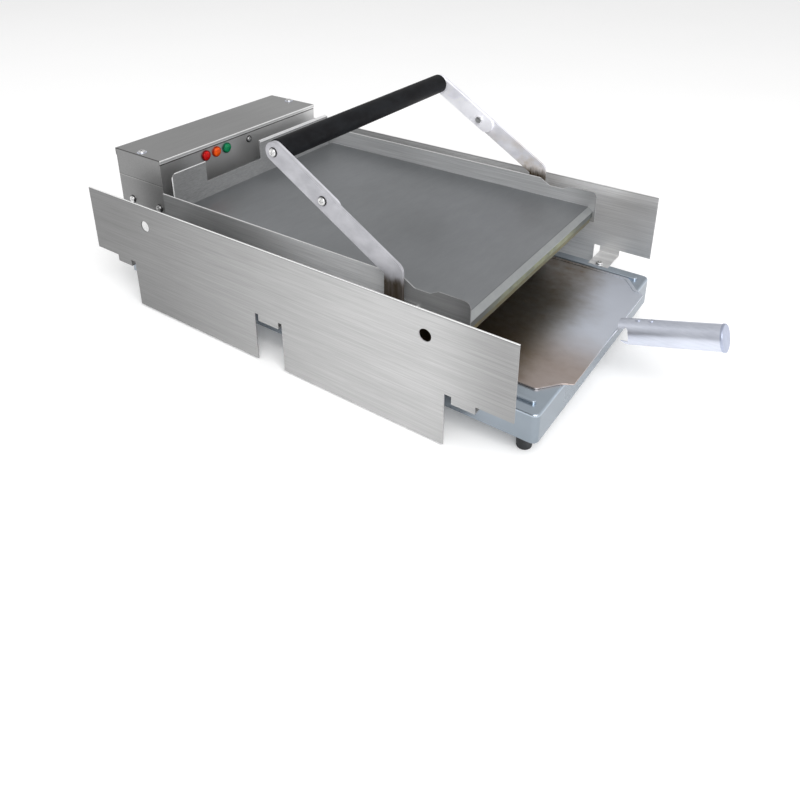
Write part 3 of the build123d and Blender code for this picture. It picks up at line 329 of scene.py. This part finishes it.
# The box's sheet is plainer, its front hem has a painted highlight, and its near side has painted shade along
# its edges
box = {
    "dark": 0.29, "light": 0.36, "rough": (0.34, 0.12), "depth": 0.00003,
    # painted shade on the near side and painted light towards the far side
    "tones": (("X", -0.1655, -0.1662, 0.80), ("X", 0.02, 0.14, 1.15)),
    "frontTo": (0.3178, 0.3184), "faceTop": (0.2105, 0.2112),
    # painted light and shade across the front face, darker to the left and lighter to the right
    "faceAcross": (-0.12, 0.10), "faceTones": (0.45, 0.72),
    # painted shade in a band below the front hem
    "underHemAt": (0.2092, 0.2098, 0.2112, 0.2117), "underHem": {"share": 0.8, "tone": 0.06},
    "nearSideTo": (-0.1661, -0.1658),
    "jointAt": (0.1771, 0.1774, 0.1778, 0.1781), "joint": {"share": 0.7, "tone": 0.06},
    # painted highlight in a band below the joint on the near side
    "belowAt": (0.1758, 0.1761, 0.1768, 0.1771), "below": {"share": 0.6, "tone": 0.55},
    # painted shade along the near side's top and front edges
    "cornerTop": (0.2157, 0.2163), "cornerFront": (0.3170, 0.3176), "either": (0.3, 0.7),
    "corner": {"share": 0.85, "tone": 0.04},
    # painted highlight on the front hem, dimmed along the fold
    "hemAt": (0.2110, 0.2118), "hemFront": (0.3164, 0.3170), "hem": {"share": 1.0, "tone": 0.92},
    "foldAt": (0.2130, 0.2136, 0.2155, 0.2162), "foldShare": 0.45,
}


def boxPaint(place):
    plain = brushedPaint(alongX, box)(place)
    across, along, height = (place.axis(name) for name in "XYZ")
    onFront, nearSide = along.fall(*box["frontTo"]), across.fall(*box["nearSideTo"])
    face = mixColour(across.step(*box["faceAcross"]), *box["faceTones"])
    corner = (height.step(*box["cornerTop"]) + along.fall(*box["cornerFront"])).step(*box["either"])
    hem = height.step(*box["hemAt"]) * along.fall(*box["hemFront"])
    # painted light and shade: the front face, the band below the hem, the near side's edges, and highlights
    # below the joint and on the hem
    plain["Base Color"] = marked(
        mixColour(onFront * height.fall(*box["faceTop"]), plain["Base Color"], face),
        (height.band(*box["underHemAt"]) * onFront, box["underHem"]),
        (nearSide * height.band(*box["jointAt"]), box["joint"]),
        (nearSide * height.band(*box["belowAt"]), box["below"]),
        (nearSide * corner, box["corner"]),
        (hem * (1 - height.band(*box["foldAt"]) * box["foldShare"]), box["hem"]),
    )
    return plain


# The platen is dull aluminium, with grease and browning on its front face
platen = {
    "grain": (900.0, 2.0), "cloud": ((9.0, 7.0, 9.0), 4.0), "smear": ((30.0, 90.0, 30.0), 4.0, 0.65),
    "shares": (0.6, 0.4), "spread": (0.2, 0.8), "dark": (0.28, 0.29, 0.30), "light": (0.34, 0.35, 0.365),
    "patch": ((60.0, 40.0, 120.0), 4.0, 0.7), "patchSpread": (0.32, 0.62),
    "slopeTo": (-0.1891, -0.1885), "slopeTone": (0.42, 0.435, 0.435), "slopePatch": 0.4,
    "foldAt": (-0.1891, -0.1887, -0.1885, -0.1881), "fold": {"share": 0.5, "tone": 0.06},
    "faceTo": (0.1422, 0.1428), "faceTone": (0.15, 0.16, 0.155),
    "greaseTo": (0.004, 0.022), "greaseShares": (0.35, 0.65), "greaseTone": (0.33, 0.34, 0.22),
    "stainTo": (0.1345, 0.1355), "stainShares": (0.4, 0.6), "stainTone": (0.20, 0.175, 0.095),
    "rough": (0.36, 0.2), "bumpShares": (0.5, 0.5), "depth": 0.00008,
}


def platenPaint(place):
    grain, cloud, smear = (place.noise(*platen[layer]) for layer in ("grain", "cloud", "smear"))
    patch = place.noise(*platen["patch"]).step(*platen["patchSpread"])
    across, along, height = (place.axis(name) for name in "XYZ")
    mottle = shared(platen["shares"], cloud, smear).step(*platen["spread"])
    slope = mixColour(patch * platen["slopePatch"], platen["slopeTone"], platen["light"])
    colour = mixColour(mottle, platen["dark"], platen["light"])
    colour = mixColour(along.fall(*platen["slopeTo"]), colour, slope)
    # painted shade: a dark line along the edge between the slope and the front face
    colour = marked(colour, (along.band(*platen["foldAt"]), platen["fold"]))
    greasy = (across * across).fall(*platen["greaseTo"]) * patch.scaled(*platen["greaseShares"])
    face = mixColour(greasy, platen["faceTone"], platen["greaseTone"])
    colour = mixColour(height.fall(*platen["faceTo"]), colour, face)
    stained = height.fall(*platen["stainTo"]) * patch.scaled(*platen["stainShares"])
    return {
        "Base Color": mixColour(stained, colour, platen["stainTone"]),
        "Roughness": cloud.scaled(*platen["rough"]),
        "Normal": shared(platen["bumpShares"], grain, smear).bump(platen["depth"]),
    }


# Both arms are burnt dark at their feet, and the far one is tanned above that
arm = {
    "rub": ((500.0, 30.0, 60.0), 3.0), "cloud": (40.0, 4.0), "shares": (0.5, 0.5), "spread": (0.3, 0.7),
    "dark": (0.34, 0.34, 0.365), "light": (0.475, 0.475, 0.505),
    "farSide": (0.0, 0.1), "farStrength": 1.95, "barTo": (0.03385, 0.03396), "barStrength": 1.3,
    "tanTo": (0.195, 0.245), "tanSpread": (0.35, 0.7), "tan": {"share": 0.8, "tone": (0.50, 0.42, 0.33)},
    "ragged": ((160.0, 160.0, 60.0), 3.0), "raggedRise": (-0.008, 0.016), "farDrop": 0.008,
    "stainTo": (0.168, 0.183), "stainTone": (0.036, 0.022, 0.008), "stainRough": 0.3,
    "streaks": ((220.0, 160.0, 20.0), 3.0), "streakShares": (0.68, 0.5),
    "rough": (0.34, 0.16), "depth": 0.00004,
}


def armPaint(place):
    rub, cloud = place.noise(*arm["rub"]), place.noise(*arm["cloud"])
    ragged, streaky = place.noise(*arm["ragged"]), place.noise(*arm["streaks"])
    across, height = place.axis("X"), place.axis("Z")
    onFar = across.step(*arm["farSide"])
    colour = mixColour(shared(arm["shares"], rub, cloud).step(*arm["spread"]), arm["dark"], arm["light"])
    # painted light: the far arm is made lighter
    colour = strengthened(onFar, colour, arm["farStrength"])
    colour = strengthened((across * across).fall(*arm["barTo"]), colour, arm["barStrength"])
    tanned = height.fall(*arm["tanTo"]) * onFar * cloud.step(*arm["tanSpread"])
    colour = marked(colour, (tanned, arm["tan"]))
    stainLine = height + ragged.scaled(*arm["raggedRise"]) - onFar * arm["farDrop"]
    stained = stainLine.fall(*arm["stainTo"])
    return {
        "Base Color": mixColour(stained * streaky.scaled(*arm["streakShares"]), colour, arm["stainTone"]),
        "Roughness": cloud.scaled(*arm["rough"]) + stained * arm["stainRough"],
        "Normal": rub.bump(arm["depth"]),
    }


# The blade is lighter and bluer towards the right and browner towards the rear under the platen, and is
# slightly wavy
blade = {
    "cloud": ((14.0, 10.0, 14.0), 4.0, 0.6), "fine": ((90.0, 60.0, 90.0), 3.0),
    "wave": ((16.0, 9.0, 16.0), 1.0), "shares": (0.7, 0.3), "spread": (0.35, 0.7),
    "clean": (0.52, 0.45, 0.42), "warm": (0.43, 0.35, 0.31),
    "blueWaver": (-0.04, 0.08), "blueFrom": (-0.095, 0.01),
    "blue": {"share": 0.85, "tone": (0.80, 0.86, 0.97)},
    "burntWaver": (-0.035, 0.07), "burntFrom": (-0.272, -0.195), "burntShares": (0.5, 0.5),
    "burntTone": (0.20, 0.145, 0.08), "rough": (0.30, 0.14),
    "bumpShares": (0.9, 0.05), "depth": 0.0012, "bumpStrength": 0.7,
}


def bladePaint(place):
    cloud, fine, wave = (place.noise(*blade[layer]) for layer in ("cloud", "fine", "wave"))
    mottle = shared(blade["shares"], cloud, fine).step(*blade["spread"])
    # painted reflection: the warm tones of the mottle stand partly for warm surroundings mirrored in the
    # steel
    colour = mixColour(mottle, blade["clean"], blade["warm"])
    bluerRight = (place.axis("X") + cloud.scaled(*blade["blueWaver"])).step(*blade["blueFrom"])
    colour = marked(colour, (bluerRight, blade["blue"]))
    brownerRear = (place.axis("Y") + cloud.scaled(*blade["burntWaver"])).step(*blade["burntFrom"])
    return {
        "Base Color": mixColour(brownerRear * fine.scaled(*blade["burntShares"]), colour, blade["burntTone"]),
        "Roughness": fine.scaled(*blade["rough"]),
        "Normal": shared(blade["bumpShares"], wave, fine).bump(blade["depth"], blade["bumpStrength"]),
    }


# A plain finish has fine grain, and clouds between a dark and a light tone
usual = {"shares": (0.0, 1.0), "spread": (0.3, 0.7), "tones": ()}  # where a finish gives no others
baseFinish = {
    "grain": (420.0, 1.0), "cloud": (8.0, 4.0), "dark": (0.33, 0.38, 0.43), "light": (0.41, 0.46, 0.52),
    "rough": (0.21, 0.18), "depth": 0.00005,
    # painted light along the top of the base and painted shade on its sides below
    "tones": (("Z", 0.0605, 0.0615, 1.22), ("Z", 0.0605, 0.0600, 0.77)),
}
gripFinish = {
    "grain": (1400.0, 2.0), "cloud": ((40.0, 60.0, 60.0), 3.0), "dark": (0.003, 0.003, 0.004),
    "light": (0.009, 0.010, 0.012), "rough": (0.40, 0.25), "depth": 0.00008,
}
rubberFinish = {
    "grain": (900.0, 2.0), "cloud": (70.0, 4.0), "spread": (0.4, 0.75), "dark": (0.018, 0.020, 0.022),
    "light": (0.055, 0.058, 0.062), "rough": (0.62, 0.2), "depth": 0.0001,
}
plasticFinish = {
    "grain": (1100.0, 2.0), "cloud": (50.0, 3.0), "dark": 0.014, "light": 0.026,
    "rough": (0.38, 0.16), "depth": 0.00006,
}
turnedFinish = {
    "grain": (700.0, 3.0), "cloud": (120.0, 2.0), "dark": 0.58, "light": 0.78,
    "rough": (0.2, 0.16), "depth": 0.00003,
}
brassFinish = {
    "grain": (160.0, 3.0), "cloud": (160.0, 3.0), "dark": (0.50, 0.33, 0.11), "light": (0.72, 0.52, 0.22),
    "rough": (0.28, 0.2), "depth": 0.00004,
}
tubeFinish = {
    "grain": ((500.0, 8.0, 500.0), 3.0), "cloud": ((60.0, 20.0, 60.0), 3.0), "shares": (0.5, 0.5),
    "dark": (0.61, 0.64, 0.73), "light": (0.72, 0.75, 0.84), "rough": (0.30, 0.16), "depth": 0.00003,
}
capFinish = {**tubeFinish, "dark": (0.40, 0.44, 0.56), "light": (0.50, 0.54, 0.67)}
lensFinish = {"grain": (300.0, 1.0), "cloud": (300.0, 1.0), "rough": (0.16, 0.08), "depth": 0.0001}


def plainPaint(finish):
    look = {**usual, **finish}

    def paint(place):
        grain, cloud = place.noise(*look["grain"]), place.noise(*look["cloud"])
        mixed = shared(look["shares"], grain, cloud).step(*look["spread"])
        return {
            "Base Color": toned(mixColour(mixed, look["dark"], look["light"]), place, look["tones"]),
            "Roughness": cloud.scaled(*look["rough"]),
            "Normal": grain.bump(look["depth"]),
        }

    return paint


def lensPaint(dark, light):
    return plainPaint({**lensFinish, "dark": dark, "light": light})


bareMetal = {"Metallic": 1.0}
lensShine = {"Specular IOR Level": 0.3}
materials = {
    "brushed_panel": makeMaterial("brushedPanel", {"Metallic": 0.65}, panelPaint),
    "tray_steel": makeMaterial("traySteel", {"Metallic": 0.55}, trayPaint),
    "box_steel": makeMaterial("boxSteel", {"Metallic": 0.85}, boxPaint),
    "fitting_steel": makeMaterial("fittingSteel", bareMetal, brushedPaint(alongY, fitting)),
    "spring_steel": makeMaterial("springSteel", bareMetal, plainPaint(turnedFinish)),
    "screw_steel": makeMaterial("screwSteel", bareMetal, plainPaint(turnedFinish)),
    "platen_aluminium": makeMaterial("platenAluminium", bareMetal, platenPaint),
    "arm_aluminium": makeMaterial("armAluminium", {"Metallic": 0.35}, armPaint),
    "base_paint": makeMaterial("baseFinish", {"Metallic": 0.95}, plainPaint(baseFinish)),
    "blade_steel": makeMaterial("bladeSteel", bareMetal, bladePaint),
    "tube_steel": makeMaterial("tubeSteel", bareMetal, plainPaint(tubeFinish)),
    "cap_steel": makeMaterial("capSteel", bareMetal, plainPaint(capFinish)),
    "bush_brass": makeMaterial("bushBrass", bareMetal, plainPaint(brassFinish)),
    "grip_plastic": makeMaterial("gripRubber", {"Specular IOR Level": 0.12}, plainPaint(gripFinish)),
    "foot_rubber": makeMaterial("footRubber", {"Specular IOR Level": 0.4}, plainPaint(rubberFinish)),
    "control_plastic": makeMaterial("controlPlastic", {"Specular IOR Level": 0.5}, plainPaint(plasticFinish)),
    "red_lens": makeMaterial("redLens", lensShine, lensPaint((0.30, 0.001, 0.001), (0.62, 0.004, 0.004))),
    "amber_lens": makeMaterial("amberLens", lensShine, lensPaint((0.60, 0.055, 0.002), (0.85, 0.10, 0.004))),
    "green_lens": makeMaterial("greenLens", lensShine, lensPaint((0.001, 0.14, 0.05), (0.003, 0.25, 0.095))),
}
print("materials made:", len(materials))


# Every CAD node takes the finish that the record names for it, and the spatula's handle has its own
def slotOf(node):
    for material in node.data.materials:
        if material is not None:
            return material.name.split(".")[0]
    return "fitting_steel"


slots = {name: slotOf(node) for name, node in frame["nodes"].items()}
ownFinish = {"spatula_tube": "tube_steel", "spatula_rivets": "tube_steel", "spatula_end_cap": "cap_steel"}
for name, node in frame["nodes"].items():
    node.data.materials.clear()
    node.data.materials.append(materials[ownFinish.get(name, slots[name])])


# Sharp edges get a small round. Angles are in degrees
rounding = {"segments": 2, "plateSharp": 35.0, "plateSmooth": 50.0, "pieceSharp": 30.0, "pieceSmooth": 40.0}


def roundSharp(piece, width, sharp, smooth):
    bevel = piece.modifiers.new("roundedEdges", "BEVEL")
    bevel.width = width
    bevel.segments = rounding["segments"]
    bevel.limit_method = "ANGLE"
    bevel.angle_limit = radians(sharp)
    bpy.ops.object.modifier_apply(modifier="roundedEdges")
    bpy.ops.object.shade_smooth_by_angle(angle=radians(smooth))


# A sheet or plate is copied from its node, its flat faces are made whole, and its edges are eased
plates = {"weld": 0.002, "flat": 0.5}


def eased(nodeName, pieceName, width):
    node = frame["nodes"][nodeName]
    piece = bpy.data.objects.new(pieceName, node.data.copy())
    bpy.context.scene.collection.objects.link(piece)
    onlySelect(piece)
    bpy.ops.mesh.customdata_custom_splitnormals_clear()
    bpy.ops.object.mode_set(mode="EDIT")
    bpy.ops.mesh.select_all(action="SELECT")
    bpy.ops.mesh.remove_doubles(threshold=plates["weld"] * mm)
    bpy.ops.mesh.dissolve_limited(angle_limit=radians(plates["flat"]))
    bpy.ops.object.mode_set(mode="OBJECT")
    roundSharp(piece, width, rounding["plateSharp"], rounding["plateSmooth"])
    evened = piece.modifiers.new("evenShading", "WEIGHTED_NORMAL")
    evened.keep_sharp = True
    bpy.ops.object.modifier_apply(modifier="evenShading")
    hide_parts(nodeName)
    return piece


easedEdges = {
    "left_side_panel": ("nearPanel", 0.35), "right_side_panel": ("farPanel", 0.35),
    "left_tray_wall": ("nearTrayWall", 0.35), "right_tray_wall": ("farTrayWall", 0.35),
    "rear_tray_wall": ("rearTrayWall", 0.35), "control_box_cover": ("boxLid", 0.3),
    "control_box_body": ("boxShell", 0.25), "crown_plate": ("crownPlate", 0.5),
    "heel_plate": ("heelPlate", 0.6), "left_arm": ("nearArm", 0.8), "right_arm": ("farArm", 0.8),
    "left_inner_bar": ("nearInnerBar", 0.8), "right_inner_bar": ("farInnerBar", 0.8),
    "left_handle_bracket": ("nearBracket", 0.4), "right_handle_bracket": ("farBracket", 0.4),
    "left_drop_lug": ("nearDropLug", 0.4), "right_drop_lug": ("farDropLug", 0.4),
    "wire_duct": ("wireDuct", 0.25), "spatula_blade": ("shovelBlade", 0.25),
}
for nodeName, (pieceName, width) in easedEdges.items():
    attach(eased(nodeName, pieceName, width * mm), body_of(frame["nodes"][nodeName])[0])
print("eased plates:", len(easedEdges))


# The lifting springs stay between the base and the platen
joints = frame["record"]["behaviour"]["joints"]


def makeSprings(nodeName, joint):
    node = frame["nodes"][nodeName]
    springs = bpy.data.objects.new("liftSprings", node.data.copy())
    bpy.context.scene.collection.objects.link(springs)
    low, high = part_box(nodeName)
    travel = max(abs(limit) for entry in joints if entry["name"] == joint for limit in entry["range_m"])
    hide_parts(nodeName)
    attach(springs, body_of(node)[0])
    1 - travel / (high.z - low.z)
    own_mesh(springs)


makeSprings("lift_springs", "platen_drop")
print("springs made")


# A drum lies along Y with its transform applied, and its front face is then shaped
drum = {"sides": 48, "facing": 0.9}


def addDrum(name, place, radius, depth, sides=drum["sides"]):
    nothingSelected()
    bpy.ops.mesh.primitive_cylinder_add(
        vertices=sides, radius=radius, depth=depth, location=place, rotation=(radians(90), 0, 0)
    )
    added = bpy.context.object
    added.name = name
    bpy.ops.object.transform_apply(location=True, rotation=True, scale=True)
    return added


def pickFront(piece):
    onlySelect(piece)
    bpy.context.tool_settings.mesh_select_mode = (False, False, True)
    for part in (*piece.data.vertices, *piece.data.edges):
        part.select = False
    for face in piece.data.polygons:
        face.select = face.normal.y < -drum["facing"]
    bpy.ops.object.mode_set(mode="EDIT")


def roundEdges(piece, width, sharp=rounding["pieceSharp"]):
    bpy.ops.object.mode_set(mode="OBJECT")
    onlySelect(piece)
    roundSharp(piece, width, sharp, rounding["pieceSmooth"])


def copyPiece(source, name, place, turn=(0, 0, 0)):
    piece = source.copy()
    piece.data = source.data.copy()
    piece.name = name
    bpy.context.scene.collection.objects.link(piece)
    piece.location = place
    piece.rotation_euler = [radians(angle) for angle in turn]
    onlySelect(piece)
    bpy.ops.object.transform_apply(location=True, rotation=True, scale=True)
    return piece


def finishPiece(piece, material, bodyNode):
    piece.data.materials.clear()
    piece.data.materials.append(material)
    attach(piece, body_of(frame["nodes"][bodyNode])[0])


# Signal lamps: a dark ring of the lamp's own colour, and a domed lens standing out of it
lamp = {
    "ring": 1.7, "ringProud": 2.4, "wellShare": 0.6, "lip": 0.5, "gap": 0.05, "backShare": 0.3,
    "domeSteps": ((1.2, 0.35), (1.4, 0.55), (1.6, 0.45), (1.3, 0.15)), "domeLip": 0.25, "domeSharp": 50.0,
}
ringColours = {
    "red": ((0.10, 0.001, 0.002), (0.17, 0.003, 0.004)), "amber": ((0.22, 0.015, 0.003), (0.36, 0.03, 0.006)),
    "green": ((0.003, 0.055, 0.03), (0.006, 0.10, 0.055)),
}
lampLow, lampHigh = (Vector(corner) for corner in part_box("red_lamp_lens"))
lampRadius = (lampHigh.x - lampLow.x) / 2
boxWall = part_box("control_box_body")[0][1]


def makeLampRing():
    depth = lamp["ringProud"] * mm
    ring = addDrum("lampRing", (0, -depth / 2, 0), lampRadius, depth)
    pickFront(ring)
    bpy.ops.mesh.inset(thickness=lamp["ring"] * mm)
    bpy.ops.mesh.extrude_region_move(TRANSFORM_OT_translate={"value": (0, depth * lamp["wellShare"], 0)})
    roundEdges(ring, lamp["lip"] * mm)
    return ring


def makeLampLens():
    rise = sum(step for inset, step in lamp["domeSteps"]) * mm
    back, front = -lamp["ringProud"] * mm * lamp["backShare"], lampLow.y - boxWall + rise
    radius = lampRadius - (lamp["ring"] + lamp["gap"]) * mm
    lens = addDrum("lampLens", (0, (back + front) / 2, 0), radius, back - front)
    pickFront(lens)
    for inset, step in lamp["domeSteps"]:
        bpy.ops.mesh.inset(thickness=inset * mm)
        bpy.ops.transform.translate(value=(0, -step * mm, 0))
    roundEdges(lens, lamp["domeLip"] * mm, lamp["domeSharp"])
    return lens


lampRing, lampLens = makeLampRing(), makeLampLens()
for colour, ringTones in ringColours.items():
    nodeName, finish = colour + "_lamp_lens", colour + "_lens"
    low, high = (Vector(corner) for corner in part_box(nodeName))
    place = ((low.x + high.x) / 2, boxWall, (low.z + high.z) / 2)
    ring = copyPiece(lampRing, colour + "LampRing", place)
    finishPiece(ring, makeMaterial(colour + "Ring", lensShine, lensPaint(*ringTones)), nodeName)
    lens = copyPiece(lampLens, colour + "Lamp", place)
    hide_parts(nodeName)
    finishPiece(lens, materials[finish], nodeName)
for model in (lampRing, lampLens):
    bpy.data.objects.remove(model)
print("lamps made:", len(ringColours))


# Washers: a thin collar round each screw head that shows; the black ones also stand for the shade round the
# heads. Sizes and places are in millimetres
washer = {
    "thick": 0.5, "wellShare": 0.8, "lip": 0.12, "sides": 40,
    "lid": (7.0, 5.3), "dark": (6.2, 5.3), "face": (5.6, 3.9),
    "lidAcross": 157.4, "lidSpots": ((366.33, 217.5),),
    "sideAcross": 166.4, "sideSpots": ((330.83, 140.5), (391.33, 140.5)),
    "armAcross": 188.2, "armSpots": ((70.33, 290.5), (-3.17, 245.81)), "faceSpot": (8.5, 317.33, 200.1),
}
shadeBlackFinish = {
    "grain": (300.0, 3.0), "cloud": (300.0, 3.0), "dark": 0.008, "light": 0.022,
    "rough": (0.45, 0.2), "depth": 0.00004,
}
zincFinish = {**tubeFinish, "dark": (0.70, 0.73, 0.84), "light": (0.86, 0.88, 0.96)}
# painted shade: the black collars darken the ring round each screw head
shadeBlack = makeMaterial("blackenedSteel", {"Metallic": 0.0, **lensShine}, plainPaint(shadeBlackFinish))
zincPlated = makeMaterial("zincPlated", bareMetal, plainPaint(zincFinish))
toFront, toTop, toLeft, toRight = (0, 0, 0), (-90, 0, 0), (0, 0, -90), (0, 0, 90)


def makeWasher(outer, inner):
    thick = washer["thick"] * mm
    collar = addDrum("washerModel", (0, -thick / 2, 0), outer * mm, thick, washer["sides"])
    pickFront(collar)
    bpy.ops.mesh.inset(thickness=(outer - inner) * mm)
    bpy.ops.mesh.extrude_region_move(TRANSFORM_OT_translate={"value": (0, thick * washer["wellShare"], 0)})
    roundEdges(collar, washer["lip"] * mm)
    return collar


# The same spots at the left and at the right, each with the way that its side faces
def bothSides(across, spots, leftTurn, rightTurn):
    sides = ((-across, leftTurn), (across, rightTurn))
    return [((x, *spot), turn) for x, turn in sides for spot in spots]


def placeWashers(name, model, spots, material, bodyNode):
    for index, (place, turn) in enumerate(spots):
        collar = copyPiece(model, name + str(index + 1), [part * mm for part in place], turn)
        finishPiece(collar, material, bodyNode)
    bpy.data.objects.remove(model)


lidSpots = bothSides(washer["lidAcross"], washer["lidSpots"], toTop, toTop)
sideSpots = bothSides(washer["sideAcross"], washer["sideSpots"], toLeft, toRight)
armSpots = bothSides(washer["armAcross"], washer["armSpots"], toLeft, toRight)
faceSpots = [(washer["faceSpot"], toFront)]
washers = (
    ("lidWasher", "lid", lidSpots, zincPlated, "control_box_cover"),
    ("sideWasher", "dark", sideSpots, shadeBlack, "control_box_body"),
    ("armWasher", "dark", armSpots, shadeBlack, "left_arm"),
    ("faceWasher", "face", faceSpots, shadeBlack, "control_box_body"),
)
for name, size, spots, material, bodyNode in washers:
    placeWashers(name, makeWasher(*washer[size]), spots, material, bodyNode)
print("washers placed:", len(lidSpots + sideSpots + armSpots + faceSpots))


# Dial marks round the thermostat knob, raised a little from the rear wall
dial = {"marks": 11, "sweep": 270.0, "radius": 20.5, "length": 3.4, "width": 0.9, "proud": 0.35, "lip": 0.12}
enamelFinish = {
    "grain": (700.0, 2.0), "cloud": (700.0, 2.0), "dark": 0.74, "light": 0.86,
    "rough": (0.4, 0.15), "depth": 0.00003,
}


def makeDialMarks():
    low, high = (Vector(corner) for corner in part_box("thermostat_knob"))
    middle = Vector(((low.x + high.x) / 2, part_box("control_box_body")[1][1], (low.z + high.z) / 2))
    size = [dial[part] * mm for part in ("width", "proud", "length")]
    nothingSelected()
    bpy.ops.mesh.primitive_cube_add(size=1, location=(0, 0, 0), scale=size)
    model = bpy.context.object
    bpy.ops.object.transform_apply(location=True, rotation=True, scale=True)
    roundEdges(model, dial["lip"] * mm)
    marks = []
    for index in range(dial["marks"]):
        turn = dial["sweep"] * (index / (dial["marks"] - 1) - 0.5)
        outwards = Vector((sin(radians(turn)), 0, cos(radians(turn)))) * dial["radius"] * mm
        place = middle + outwards + Vector((0, dial["proud"] * mm / 2, 0))
        marks.append(copyPiece(model, "dialMark" + str(index + 1), place, (0, turn, 0)))
    bpy.data.objects.remove(model)
    onlySelect(marks[0])
    for mark in marks:
        mark.select_set(True)
    bpy.ops.object.join()
    joined = bpy.context.object
    joined.name = "dialMarks"
    return joined


dialMarks = makeDialMarks()
finishPiece(dialMarks, makeMaterial("whiteEnamel", {}, plainPaint(enamelFinish)), "control_box_body")
print("dial marks:", dial["marks"])


# Studio: a pale floor, an even sky that is a little brighter in front, and two soft lights
studio = {
    "sky": 0.62, "skyFront": 0.84, "skyTurn": (-0.4, 0.8),
    "floor": (0.92, 0.9476), "floorCloud": 3.0, "floorSize": 12.0, "floorRough": 0.7, "floorGlow": 0.12,
    "lightsAim": (0, 0, 0.1),
}
lights = {
    "keyLight": {"place": (-1.4, -1.6, 2.2), "power": 66.0, "size": 2.0},
    "rimLight": {"place": (-0.6, 2.2, 2.0), "power": 6.0, "size": 1.6},
}


def floorPaint(place):
    return {"Base Color": mixColour(place.noise(studio["floorCloud"]), *studio["floor"])}


def makeFloor():
    bpy.ops.mesh.primitive_plane_add(size=studio["floorSize"], location=(0, 0, 0))
    floor = bpy.context.object
    floor.name = "floor"
    fixed = {
        "Roughness": studio["floorRough"],
        "Emission Color": colourOf(1.0),
        "Emission Strength": studio["floorGlow"],
    }
    floor.data.materials.append(makeMaterial("floorPaint", fixed, floorPaint))


def makeSky():
    world = bpy.data.worlds.new("studioSky")
    bpy.context.scene.world = world
    world.use_nodes = True
    tree = world.node_tree
    towards = Wire(tree).node("ShaderNodeTexCoord", out="Generated")
    front = (towards.axis("Y") * -1).step(*studio["skyTurn"])
    shade = mixColour(front, studio["sky"], studio["skyFront"])
    tree.links.new(shade.socket, tree.nodes["Background"].inputs["Color"])


def addLight(name, place, power, size):
    bpy.ops.object.light_add(type="AREA", location=place)
    light = bpy.context.object
    light.name = name
    light.data.energy = power
    light.data.size = size
    aim = Vector(studio["lightsAim"]) - Vector(place)
    light.rotation_euler = aim.to_track_quat("-Z", "Y").to_euler()


makeFloor()
makeSky()
for name, light in lights.items():
    addLight(name, **light)
bpy.context.scene.view_settings.view_transform = "Standard"
print("studio set")
